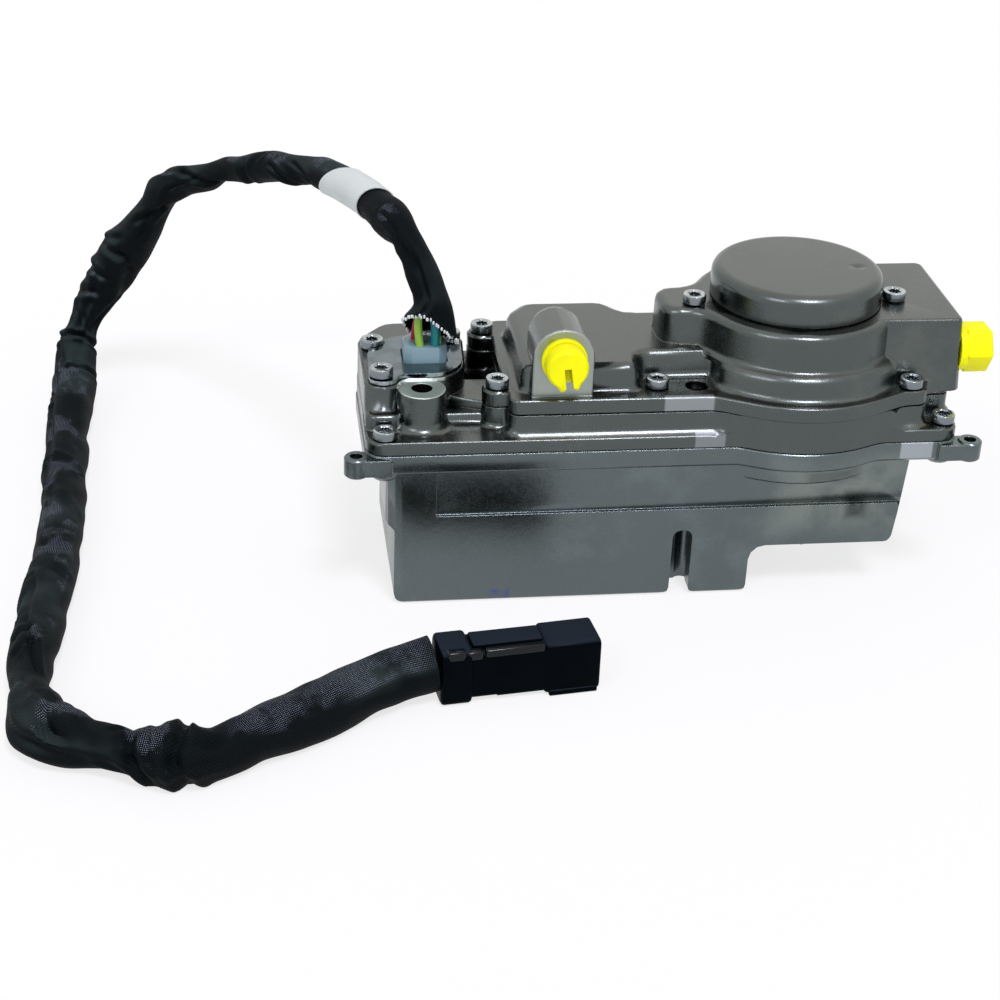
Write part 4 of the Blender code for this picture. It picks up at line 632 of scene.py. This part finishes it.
class StageOperator(bpy.types.Operator):
    """Set up the camera, the lamps and the pale floor."""

    bl_idname = "actuator.stage"
    bl_label = "Stage"

    def execute(self, context):
        sizes = context.scene.actuator_stage
        yaw, roll = math.radians(sizes.yaw), math.radians(sizes.roll)
        ahead = Vector(looking(sizes))
        right = Vector((math.cos(yaw), -math.sin(yaw), 0))
        above = right.cross(ahead)
        right, above = (
            right * math.cos(roll) + above * math.sin(roll),
            above * math.cos(roll) - right * math.sin(roll),
        )
        camera_data = bpy.data.cameras.new("camera")
        camera_data.lens = sizes.lens
        camera_data.sensor_width = 36.0
        camera_data.clip_start = 0.01
        camera = bpy.data.objects.new("camera", camera_data)
        camera.matrix_world = CAMERA_PLACE @ Matrix((right, above, -ahead)).transposed().to_4x4()
        context.scene.collection.objects.link(camera)
        context.scene.camera = camera

        self.lamp("key_lamp", (0.12, -0.48, 0.87), 15, sizes.key)
        self.lamp("side_lamp", (-0.50, -0.55, 0.67), 20, sizes.side)

        world = bpy.data.worlds.new("studio")
        context.scene.world = world
        world.use_nodes = True
        tree = world.node_tree
        tree.nodes.clear()
        lit = put_node(tree, "Background", {"Color": (0.97, 0.985, 1.0, 1), "Strength": sizes.sky})
        shown = put_node(tree, "Background", {"Color": (1, 1, 1, 1), "Strength": 1.0})
        output = put_node(tree, "OutputWorld").inputs["Surface"]
        white_to_the_eye(tree, lit.outputs[0], shown.outputs[0], 1.0, output)

        half, low = 3.0, -0.0002
        corners = [(-half, -half, low), (half, -half, low), (half, half, low), (-half, half, low)]
        floor = mesh_piece("studio_floor", corners, [(0, 1, 2, 3)])
        floor.data.materials.append(floor_finish("pale_floor", (0.90, 0.90, 0.90), 0.75))
        context.scene.view_settings.view_transform = "Standard"
        return {"FINISHED"}

    def lamp(self, name, direction, width, strength):
        """Add a far lamp that shines from a direction, as wide as the given number of degrees."""
        data = bpy.data.lights.new(name, "SUN")
        data.angle = math.radians(width)
        data.energy = strength
        data.color = (0.98, 0.94, 1.06)
        lamp = bpy.data.objects.new(name, data)
        lamp.rotation_euler = Vector(direction).to_track_quat("Z", "Y").to_euler()
        bpy.context.scene.collection.objects.link(lamp)


class HarnessOperator(bpy.types.Operator):
    """Make the woven sleeve, its cut braid, the label, the wires and the plug."""

    bl_idname = "actuator.harness"
    bl_label = "Harness"

    def execute(self, context):
        sizes = context.scene.actuator_harness
        path, run = even_path(ROUTE, SLEEVE_ROWS)
        frames = path_frames(path, looking(context.scene.actuator_stage))
        angle = np.arange(SLEEVE_STEPS) * FULL_TURN / SLEEVE_STEPS - math.pi
        share = np.linspace(0, 1, len(path))
        grid = self.skin(path, frames, share, angle, self.folds(share, angle, run))
        self.bell(grid, path[0], angle)
        sleeve = surface("harness_braid", grid, caps=False)
        sleeve.data.materials.append(weave_finish("black_braid", sizes.colour))
        threads = round(FULL_TURN * SLEEVE_RADIUS / sizes.thread / 2) * 2
        self.seam_safe_uv(sleeve, share * run / sizes.thread, threads)
        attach(sleeve, "housing")
        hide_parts("harness_sleeve")

        mouth = self.cut_braid(grid[0])
        label = self.label(path, frames, share)
        wires = self.wires()
        plug, lock = self.plug()
        return {"FINISHED"}

    def skin(self, path, frames, share, angle, outward):
        """Points of the sleeve: path + across (half width) cos a + away (half height) sin a, both grown.

        The half width is the measured inner one where cos a is above 0 and the outer one where it is below,
        and no more than the sleeve's reach. No point lies below the sleeve's lift off the floor.
        """
        across, away = frames
        inner = np.interp(share, EDGES[:, 0], EDGES[:, 1]) * MM
        outer = np.interp(share, EDGES[:, 0], EDGES[:, 2]) * MM
        cosine = np.cos(angle)[None, :]
        blend = 0.5 + 0.5 * np.tanh(cosine * 4)
        wide = eased(inner, 3)[:, None] * blend + eased(outer, 3)[:, None] * (1 - blend)
        high = eased((inner + outer) / 2, 6)[:, None]
        reach = np.minimum(wide + outward, SLEEVE_REACH) * cosine
        rise = (high + outward) * np.sin(angle)[None, :]
        grid = path[:, None, :] + across[:, None, :] * reach[..., None] + away[:, None, :] * rise[..., None]
        grid[..., 2] = np.maximum(grid[..., 2], SLEEVE_LIFT)
        return grid

    def bell(self, grid, centre, angle):
        """Cut the mouth to its measured edge: z + rise and r + flare, faded away from the first row."""
        rows = 32
        fade = (np.linspace(1, 0, rows) ** 1.4)[:, None]
        turn = np.degrees(angle)
        rise, flare = (np.interp(turn, MOUTH[:, 0], MOUTH[:, k]) * MM for k in (1, 2))
        radial = grid[:rows, :, :2] - centre[:2]
        radial /= np.linalg.norm(radial, axis=2)[..., None]
        grid[:rows, :, :2] += radial * (fade * flare)[..., None]
        grid[:rows, :, 2] += fade * rise

    def folds(self, share, angle, run):
        """How far the cloth stands in or out: measured creases, pleats at two knots and a slow unevenness.

        A crease is a valley -exp(-x^2) with lips 0.5 exp(-(|x| - 1.8)^2), x the distance from its line over
        its half width; a pleat is sin(a)^2 cos(9 a + s), faded away from its knot.
        """
        here = np.stack(np.broadcast_arrays((share * run)[:, None], angle[None, :] * SLEEVE_RADIUS), axis=2)
        total = np.zeros(here.shape[:2])
        for share_a, angle_a, share_b, angle_b, depth, width in CREASES:
            start = np.array([share_a * run, math.radians(angle_a) * SLEEVE_RADIUS])
            line = np.array([share_b * run, math.radians(angle_b) * SLEEVE_RADIUS]) - start
            length = np.linalg.norm(line)
            ahead = line / length
            nearby = min(share_a, share_b) - 0.02, max(share_a, share_b) + 0.02
            rows = slice(*np.searchsorted(share, nearby))
            offset = here[rows] - start
            along = offset @ ahead
            x = (offset @ np.array([-ahead[1], ahead[0]])) / (width * MM)
            past = np.maximum(np.maximum(-along, along - length), 0) / (1.5 * width * MM)
            shape = -np.exp(-x ** 2) + 0.5 * np.exp(-(np.abs(x) - 1.8) ** 2)
            total[rows] += depth * MM * shape * np.exp(-past ** 2)
        for knot, height in ((0.404, 0.8), (0.862, 0.7)):
            fade = np.exp(-((share - knot) / 0.018) ** 2)[:, None] * np.sin(angle[None, :]) ** 2
            total += height * MM * fade * np.cos(9 * angle[None, :] + (share[:, None] - knot) * 60)
        rng = np.random.default_rng(11)
        for _ in range(14):
            pitch, turns, phase = rng.uniform(0.014, 0.050), rng.integers(1, 4), rng.uniform(0, FULL_TURN)
            wave = np.sin(FULL_TURN * share[:, None] * run / pitch + turns * angle[None, :] + phase)
            total += 0.10 * MM * wave
        under_label = np.abs(share - 0.112) < 0.034
        total *= (1 - eased(under_label * 0.8, 6))[:, None]
        return np.clip(total, -0.0032, 0.0018)

    def seam_safe_uv(self, piece, along, threads):
        """UV per face corner, in threads along and round; the last column of quads runs on past the seam."""
        layer = piece.data.uv_layers.new(name="UVMap")
        corner = np.empty(len(piece.data.loops), dtype=int)
        piece.data.loops.foreach_get("vertex_index", corner)
        row, column = np.divmod(corner, SLEEVE_STEPS)
        quads = column.reshape(-1, 4)
        on_seam = (quads.max(axis=1) == SLEEVE_STEPS - 1) & (quads.min(axis=1) == 0)
        wraps = np.repeat(on_seam, 4) & (column == 0)
        v = column * threads / SLEEVE_STEPS + wraps * threads
        layer.data.foreach_set("uv", np.stack([along[row], v], axis=1).ravel())

    def cut_braid(self, ring):
        """Bright thread ends round the cut mouth: small turned stubs at even steps, each a little off."""
        count, sides = 64, 6
        angle = np.arange(count) * FULL_TURN / count
        index = angle / FULL_TURN * len(ring)
        low = index.astype(int) % len(ring)
        part = (index - index.astype(int))[:, None]
        spots = ring[low] * (1 - part) + ring[(low + 1) % len(ring)] * part
        profile = [(0.0001, -0.0007), (0.00038, -0.0005), (0.00042, 0.0004), (0.0001, 0.0007)]
        stub = turned(profile, sides).reshape(-1, 3)
        lean = np.random.default_rng(5).normal(0, 0.0003, (count, 3))
        faces = []
        for start in range(0, count * len(stub), len(stub)):
            faces += grid_faces(len(profile), sides, start=start)
            faces.append([start + k for k in reversed(range(sides))])
            faces.append([start + len(stub) - sides + k for k in range(sides)])
        piece = mesh_piece("cut_braid", stub + (spots + lean)[:, None], faces)
        tidy_normals(piece)
        piece.data.materials.append(moulded_finish("thread_ends", (0.72, 0.74, 0.76), 0.4))
        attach(piece, "housing")
        return piece

    def label(self, path, frames, share):
        """Paper label wrapped round the sleeve: the sleeve's own section, 0.7 and 0.3 mm larger.

        It reaches from the share 0.0888 + 0.0037 cos a of the route to the share 0.1315 + 0.01 cos a.
        """
        steps = 64
        angle = np.arange(steps) * FULL_TURN / steps
        ends = 0.0888 + 0.0037 * np.cos(angle), 0.1315 + 0.0100 * np.cos(angle)
        row = np.linspace(*ends, 24) * (len(path) - 1)
        low, column = row.astype(int), np.arange(steps)
        part = (row - low)[..., None]
        rings = []
        for grow, order in ((0.0007, 1), (0.0003, -1)):
            whole = self.skin(path, frames, share, angle, grow)
            rings.append((whole[low, column] * (1 - part) + whole[low + 1, column] * part)[::order])
        piece = surface("label_wrap", np.concatenate(rings), wrap_rows=True)
        piece.data.materials.append(moulded_finish("label_paper", (0.60, 0.65, 0.62), 0.55, speckle=0.05))
        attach(piece, "housing")
        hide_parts("label_band")
        return piece

    def wires(self):
        """The insulated wires between connector and sleeve, and one thin strand beside them.

        Each is a round tube along a straight line bowed sideways by sin(pi t).
        """
        plan = (
            # Node, colour, foot and top in millimetres, radius
            ("wire_red", (0.55, 0.02, 0.07), (-92.0, 0.6), (-89.6, -3.2), 0.9),
            ("wire_green", (0.30, 0.55, 0.06), (-90.0, -5.6), (-90.4, -4.6), 1.5),
            ("wire_teal", (0.0, 0.23, 0.25), (-84.4, -5.0), (-86.0, -4.4), 1.7),
        )
        foot_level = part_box("connector_body")[1][2] / MM + 0.02
        top_level = 107.0
        t = np.linspace(0, 1, 26)[:, None]
        wires = []
        for name, colour, foot, top, radius in plan:
            start, end = np.array([*foot, foot_level]) * MM, np.array([*top, top_level]) * MM
            bow = np.array([[math.copysign(0.0006, foot[0] + 87), -0.0004, 0]]) * np.sin(math.pi * t)
            line = start + (end - start) * t + bow
            piece = self.strand(name + "_insulation", line, radius * MM)
            if name == "wire_green":
                second = self.strand("second_strand", line + np.array([7.4, 1.6, 0]) * MM, 0.7 * MM)
                piece = fuse_meshes(piece, [second])
            piece.data.materials.append(moulded_finish(name + "_colour", colour, 0.35))
            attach(piece, "housing")
            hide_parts(name)
            wires.append(piece)
        return wires

    def strand(self, name, line, radius):
        """Round tube: each point of the line plus radius (cos a, sin a, 0)."""
        angle = np.arange(20) * FULL_TURN / 20
        circle = np.stack([np.cos(angle), np.sin(angle), 0 * angle], axis=1) * radius
        return surface(name, line[:, None] + circle[None])

    def plug(self):
        """In-line plug: rounded rectangles carried along its length, with rail, step, tab, foot and lock."""
        length_to_x = Matrix(((0, 0, 1, 0), (1, 0, 0, 0), (0, 1, 0, 0), (0, 0, 0, 1)))
        middle = 10.5
        shell = [
            # Distance, half depth, half height, corner radius
            (0.0, 7.4, 9.4, 2.0), (0.5, 8.2, 10.2, 2.2), (1.2, 8.5, 10.5, 2.4), (9.8, 8.5, 10.5, 2.4),
            (10.6, 8.2, 10.2, 2.2), (11.0, 7.6, 9.7, 2.0), (11.0, 7.4, 9.0, 1.8), (20.0, 7.4, 9.0, 1.8),
            (20.3, 7.6, 9.3, 1.8), (36.8, 7.6, 9.3, 1.8), (37.2, 8.1, 9.6, 1.8), (37.8, 8.4, 10.0, 2.2),
            (55.6, 8.5, 10.1, 2.2), (56.2, 8.2, 9.8, 2.0), (56.5, 7.7, 9.3, 1.8), (56.4, 6.6, 8.2, 1.4),
            (55.8, 6.4, 8.0, 1.3), (45.0, 6.4, 8.0, 1.3),
        ]
        grid = box_stack([metres(layer) for layer in shell])
        grid[..., 1] += middle * MM
        body = place(surface("plug_shell", grid), PLUG_PLACE @ length_to_x)
        rail = self.block((15.4, 36.6), (-8.0, -4.6), (18.4, 21.0), 1.0)
        step = self.block((9.0, 14.6), (-8.2, -4.6), (18.0, 20.9), 1.0)
        tab = self.block((2.0, 8.6), (-8.5, -4.6), (18.6, 21.6), 1.1)
        foot = self.block((38.4, 55.6), (-8.9, -6.4), (0.3, 2.2), 0.6)
        lock = self.block((11.6, 36.4), (-4.6, 4.6), (19.6, 21.6), 0.8)
        lock.name = "plug_lock_slide"
        for piece in (rail, tab, step):
            piece.data.polygons.foreach_set("material_index", [1] * len(piece.data.polygons))
        joined = fuse_meshes(body, [rail, step, tab, foot])
        # Painted sheen: the plug's upward faces are painted a lighter blue-black.
        black = moulded_finish(
            "plug_black", (0.0008, 0.0018, 0.003), 0.34, speckle=0.2, radius=0.4, gloss=0.02,
            top=(0.014, 0.020, 0.029),
        )
        shiny = moulded_finish(
            "plug_shiny", (0.0015, 0.003, 0.0045), 0.10, speckle=0.2, radius=0.3, gloss=0.25,
        )
        for piece, node in ((joined, "harness_plug"), (lock, "plug_lock")):
            piece.data.materials.append(black)
            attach(piece, "housing")
            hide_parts(node)
        joined.data.materials.append(shiny)
        return joined, lock

    def block(self, x, y, z, radius):
        """Small block between two corners in the plug's own millimetres, its top edge a quarter circle."""
        half_x, half_y = (x[1] - x[0]) / 2, (y[1] - y[0]) / 2
        edge = min(radius, half_x * 0.9, half_y * 0.9, z[1] - z[0] - 0.2)
        layers = [(z[0], half_x, half_y, edge)]
        for turn in np.linspace(0, math.pi / 2, 6):
            inset = edge * (1 - math.cos(turn)) * 0.9
            layers.append((z[1] - edge * (1 - math.sin(turn)), half_x - inset, half_y - inset, edge - inset))
        grid = box_stack([metres(layer) for layer in layers], steps=4)
        grid[..., 0] += (x[0] + half_x) * MM
        grid[..., 1] += (y[0] + half_y) * MM
        return place(surface("plug_block", grid), PLUG_PLACE)


class CastingOperator(bpy.types.Operator):
    """Give the castings their merged, softly edged surface and cast finish."""

    bl_idname = "actuator.castings"
    bl_label = "Castings"

    def execute(self, context):
        sizes = context.scene.actuator_castings
        top, side, base = tuple(sizes.top), tuple(sizes.side), tuple(sizes.base)
        stain = shade(side, 0.5)
        milled = (0.30, 0.325, 0.34)
        cover = cast_finish(
            "cover_casting", top, side,
            patches=[((4.5, -36, 79), (9, 2.5, 3.2), milled),
                     ((PORT_X, -32.4, 96), (10.8, 1.2, 14), (0.37, 0.41, 0.38))],
            # Painted shade: a small place low on the cover's front is painted near black.
            painted_shade=((9, -26.2, 76.4), (4.6, 4.6, 5.0)),
        )
        main = cast_finish(
            "main_casting", top, side,
            patches=[((12.5, -38.5, 66), (5.5, 2.6, 2.6), (0.24, 0.265, 0.28)),
                     ((-90.7, -22.7, 82.2), (9, 9, 0.5), (0.50, 0.57, 0.53))],
            # Painted shade: the floor of the deep pocket behind the shelf, beside the connector, is painted
            # near black.
            painted_shade=((-72, 8, 69.5), (9.5, 26, 4.5)),
        )
        # Painted light: the base's upward faces are painted 1.3 times lighter than its sides.
        lower = cast_finish(
            "base_casting", shade(base, 1.3), base,
            patches=[((90, -39, 60), (6, 3, 3.2), (0.38, 0.42, 0.45))],
            # Blotches: a broad lighter one on the base's front, two darker stains and a blue mark.
            blotches=[((64, -36.5, 42), (24, 8, 15), (0.20, 0.23, 0.215)),
                    ((71, -36.5, 36), (4, 3, 5), stain), ((60, -36.5, 50), (9, 6, 3), stain),
                    ((-62, -36.7, 2), (3.2, 1.5, 2.5), (0.0, 0.02, 0.35))],
        )
        for node, finish in (("base_housing", lower), ("main_housing", main), ("top_cover", cover)):
            piece = self.dressed(node)
            piece.data.materials.append(finish)
            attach(piece, "housing")
            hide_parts(node)
        self.cap(cover)
        return {"FINISHED"}

    def dressed(self, node):
        """Merged copy of a casting, smooth across its fillets and flat on its faces."""
        piece = merged_copy(node, node + "_cast", 38)
        weighted = piece.modifiers.new("Weighted normals", "WEIGHTED_NORMAL")
        weighted.keep_sharp = True
        weighted.weight = 80
        return piece

    def cap(self, finish):
        """Bearing cap: a turned profile with a rounded edge and a crown that rises by 0.1 (1 - (r / 27.8)^2).

        A dimple lowers the crown by 0.6 exp(-d^4), d the distance from its middle over its half width.
        """
        low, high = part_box("bearing_cap")
        centre = middle_of(low, high)
        radius = (high[0] - low[0]) / 2 / MM
        foot, crown = low[2] / MM + 2.6, high[2] / MM
        edge = 3.8
        turn = np.linspace(0, math.pi / 2, 9)
        corner = [(radius - edge + edge * math.cos(a), crown - edge + edge * math.sin(a)) for a in turn]
        rings = [(r, crown + 0.10 * (1 - (r / 27.8) ** 2)) for r in np.linspace(27.0, 0.4, 22)]
        inside = [(0.4, crown - 3.2), (26.0, crown - 3.2), (26.8, foot - 2.6), (29.7, foot - 2.6)]
        rim = [(29.7, foot), (radius - 0.3, foot), (radius, foot + 0.3)]
        profile = inside + rim + corner + rings
        grid = turned(np.array(profile) * MM, 128)
        grid[..., :2] += centre[:2]
        on_crown = grid[..., 2] > (crown - 0.6) * MM
        away = np.hypot((grid[..., 0] - 0.0715) * 0.6, grid[..., 1] + 0.002) / 0.0013
        grid[..., 2] -= on_crown * 0.0006 * np.exp(-away ** 4)
        piece = surface("bearing_cap_turned", grid)
        piece.data.materials.append(finish)
        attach(piece, "housing")
        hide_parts("bearing_cap")


class ScrewOperator(bpy.types.Operator):
    """Make every cylinder-head screw with its lobed recess."""

    bl_idname = "actuator.screws"
    bl_label = "Screws"

    def execute(self, context):
        sizes = context.scene.actuator_screws
        # Painted light: the screw heads' upward faces are painted lighter than their sides.
        finish = plated_finish("zinc_plate", (0.54, 0.58, 0.57), (0.20, 0.23, 0.25), 0.24)
        rng = np.random.default_rng(3)
        for node in sorted(name for name in NODES if "_screw_" in name):
            low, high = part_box(node)
            length = high[2] - low[2] - sizes.head_height
            piece = surface(node + "_lobed", self.screw(sizes, length, rng.uniform(0, FULL_TURN)))
            seat = middle_of(low, high)
            seat[2] = high[2] - sizes.head_height
            place(piece, Matrix.Translation(seat))
            piece.data.materials.append(finish)
            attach(piece, "housing")
            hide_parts(node)
        return {"FINISHED"}

    def screw(self, sizes, length, start):
        """Turned head and shank; inside the recess r is multiplied by 0.87 + 0.13 cos(lobes a)."""
        head, height = sizes.head_radius, sizes.head_height
        shank, recess = sizes.shank_radius, sizes.recess_radius
        outside = [
            (0.0002, -length), (shank - 0.0005, -length), (shank, -length + 0.0006), (shank, 0.0003),
            (head - 0.0004, 0.0003), (head, 0.0006), (head, height - 0.0006),
            (head - 0.0002, height - 0.0002), (head - 0.0007, height),
            (recess + 0.0007, height), (recess + 0.0004, height - 0.0001),
        ]
        inside = [
            (recess + 0.0001, height - 0.0004), (recess, height - 0.0007), (recess, height - 0.0024),
            (recess * 0.8, height - 0.0028), (recess * 0.3, height - 0.0031),
        ]
        steps = 72
        angle = np.arange(steps) * FULL_TURN / steps + start
        factor = np.ones((len(outside) + len(inside), steps))
        factor[len(outside):] = 0.87 + 0.13 * np.cos(sizes.lobes * angle)
        return turned(outside + inside, steps, factor)


class ConnectorOperator(bpy.types.Operator):
    """Make the translucent connector and its bent retaining plate."""

    bl_idname = "actuator.connector"
    bl_label = "Connector"

    def execute(self, context):
        low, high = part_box("connector_body")
        foot, top = low[2], high[2]
        deck = top - 0.0085
        layers = [
            # Height, then half depth, half width and corner size in millimetres
            (foot, 6.8, 5.8, 1.5), (deck - 0.0025, 6.8, 5.8, 1.5), (deck - 0.0024, 7.9, 6.9, 3.0),
            (deck, 7.9, 6.9, 3.0), (top - 0.0008, 7.9, 6.9, 3.0), (top - 0.0002, 7.6, 6.6, 2.85),
            (top, 7.2, 6.2, 2.7), (top, 5.2, 4.2, 1.8),
        ]
        block = surface("connector_block", box_stack([(z, *metres(sizes)) for z, *sizes in layers], steps=1))
        collar = surface("collar", turned([
            (0.0071, deck - 0.0038), (0.0109, deck - 0.0038), (0.0110, deck - 0.0036),
            (0.0110, deck - 0.0021), (0.0108, deck - 0.0019), (0.0071, deck - 0.0019),
        ], 72), wrap_rows=True)
        centre = middle_of(low, high)
        centre[2] = 0
        body = place(fuse_meshes(block, [collar]), Matrix.Translation(centre))
        body.data.materials.append(clear_finish("milky_plastic", (0.30, 0.46, 0.52)))
        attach(body, "housing")
        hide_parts("connector_body")
        # Painted reflection and highlight: the plate's upward faces are painted dark and its upright edges
        # light.
        sheet = plated_finish("plate_zinc", (0.13, 0.16, 0.17), (0.30, 0.34, 0.36), 0.14, scratch=0.03)
        plate = softened_copy("connector_plate", "retaining_plate", 0.35, sheet)
        return {"FINISHED"}


class PortPlugOperator(bpy.types.Operator):
    """Make the two yellow plugs of the coolant ports."""

    bl_idname = "actuator.port_plugs"
    bl_label = "Port plugs"

    def execute(self, context):
        yellow = moulded_finish(
            "plug_yellow", (0.93, 0.91, 0.002), 0.42, speckle=0.06, radius=0.4, gloss=0.15,
        )
        front = self.slotted_head("front_port_plug", "front_port_plug_moulded")
        front.data.materials.append(yellow)
        side = softened_copy("side_port_plug", "side_port_plug_moulded", 0.4, yellow)
        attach(front, "housing")
        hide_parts("front_port_plug")
        return {"FINISHED"}

    def slotted_head(self, node, name):
        """Round plug with a slot below its middle and a prong at each side of the slot.

        The head's outline is r (cos a, sin a), where r grows by 1.4 exp(-((d - 20) / 9)^2), d the degrees
        from straight down; the slot's two inner corners close it.
        """
        low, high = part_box(node)
        length, radius = (high[1] - low[1]) / MM, (high[0] - low[0]) / 2 / MM
        away = np.linspace(11, 349, 90)
        reach = radius - 0.6 + 1.4 * np.exp(-((np.minimum(away, 360 - away) - 20) / 9) ** 2)
        turn = np.radians(away - 90)
        outline = np.stack([reach * np.cos(turn), reach * np.sin(turn)], axis=1)
        outline = np.vstack([outline, (-1.4, 0.6), (1.4, 0.6)])
        layers = (
            # Height, factor of the outline
            (length - 7.2, 0.9), (length - 6.8, 0.98), (length - 1.6, 1.0), (length - 0.6, 0.96),
            (length, 0.86),
        )
        rings = [np.column_stack([outline * factor, np.full(len(outline), z)]) for z, factor in layers]
        head = surface(name, np.stack(rings) * MM)
        stem = surface("stem", turned(np.array([
            (0.3, 0.2), (radius - 1.4, 0.2), (radius - 1.2, 0.6), (radius - 1.2, length - 10.4),
            (radius - 0.2, length - 10.2), (radius, length - 9.9), (radius, length - 7.9),
            (radius - 0.3, length - 7.5), (0.3, length - 7.4),
        ]) * MM, 72))
        seat = middle_of(low, high)
        seat[1] = high[1]
        lay = Matrix.Rotation(math.pi / 2, 4, "X") @ Matrix.Rotation(math.radians(8), 4, "Z")
        return place(fuse_meshes(head, [stem]), Matrix.Translation(seat) @ lay)


class InsideOperator(bpy.types.Operator):
    """Finish the gears, bearings, motor and electronics inside the castings."""

    bl_idname = "actuator.inside"
    bl_label = "Inside"

    def execute(self, context):
        steel = plated_finish("ground_steel", (0.52, 0.52, 0.51), (0.48, 0.48, 0.48), 0.28)
        rubber = moulded_finish("seal_rubber", (0.015, 0.015, 0.016), 0.6)
        copper = plated_finish("copper_wire", (0.62, 0.27, 0.12), (0.55, 0.24, 0.11), 0.35)
        board = moulded_finish("solder_mask", (0.01, 0.12, 0.05), 0.35)
        black = moulded_finish("can_black", (0.02, 0.02, 0.022), 0.35)
        looks = {
            steel: ["motor_shaft", "stator_core", "motor_bearing_lower", "motor_bearing_upper",
                    "intermediate_gear", "intermediate_pin", "output_shaft", "output_sector_gear",
                    "output_pinion", "output_bearing_upper", "output_bearing_lower"],
            rubber: ["base_gasket", "cover_gasket", "output_seal", "rotor_magnet"],
            copper: ["stator_winding_lower", "stator_winding_upper"],
            board: ["circuit_board"],
            black: ["capacitor_1", "capacitor_2", "capacitor_3"],
        }
        for finish, nodes in looks.items():
            for node in nodes:
                NODES[node].data.materials.clear()
                NODES[node].data.materials.append(finish)
        return {"FINISHED"}


class ActuatorPanel(bpy.types.Panel):
    """Sizes and steps of the actuator."""

    bl_idname = "VIEW3D_PT_actuator"
    bl_label = "Actuator"
    bl_space_type = "VIEW_3D"
    bl_region_type = "UI"
    bl_category = "Actuator"

    def draw(self, context):
        for name in PROPERTY_GROUPS:
            group = getattr(context.scene, name)
            box = self.layout.box()
            for key in group.bl_rna.properties.keys():
                if key not in {"rna_type", "name"}:
                    box.prop(group, key)
        for operator in OPERATORS:
            self.layout.operator(operator.bl_idname)


OPERATORS = (
    StageOperator, HarnessOperator, CastingOperator, ScrewOperator, ConnectorOperator, PortPlugOperator,
    InsideOperator,
)
PROPERTY_GROUPS = {
    "actuator_castings": CastingSizes,
    "actuator_screws": ScrewSizes,
    "actuator_harness": HarnessSizes,
    "actuator_stage": StageSizes,
}


def register():
    """Register the properties, operators and panel."""
    for name, group in PROPERTY_GROUPS.items():
        bpy.utils.register_class(group)
        setattr(bpy.types.Scene, name, PointerProperty(type=group))
    for operator in OPERATORS:
        bpy.utils.register_class(operator)
    bpy.utils.register_class(ActuatorPanel)


def unregister():
    """Take the panel, operators and properties out again."""
    bpy.utils.unregister_class(ActuatorPanel)
    for operator in reversed(OPERATORS):
        bpy.utils.unregister_class(operator)
    for name, group in PROPERTY_GROUPS.items():
        delattr(bpy.types.Scene, name)
        bpy.utils.unregister_class(group)


def main():
    """Build everything in order."""
    register()
    for operator in OPERATORS:
        space, step = operator.bl_idname.split(".")
        getattr(getattr(bpy.ops, space), step)()
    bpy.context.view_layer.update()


if __name__ == "__main__":
    main()
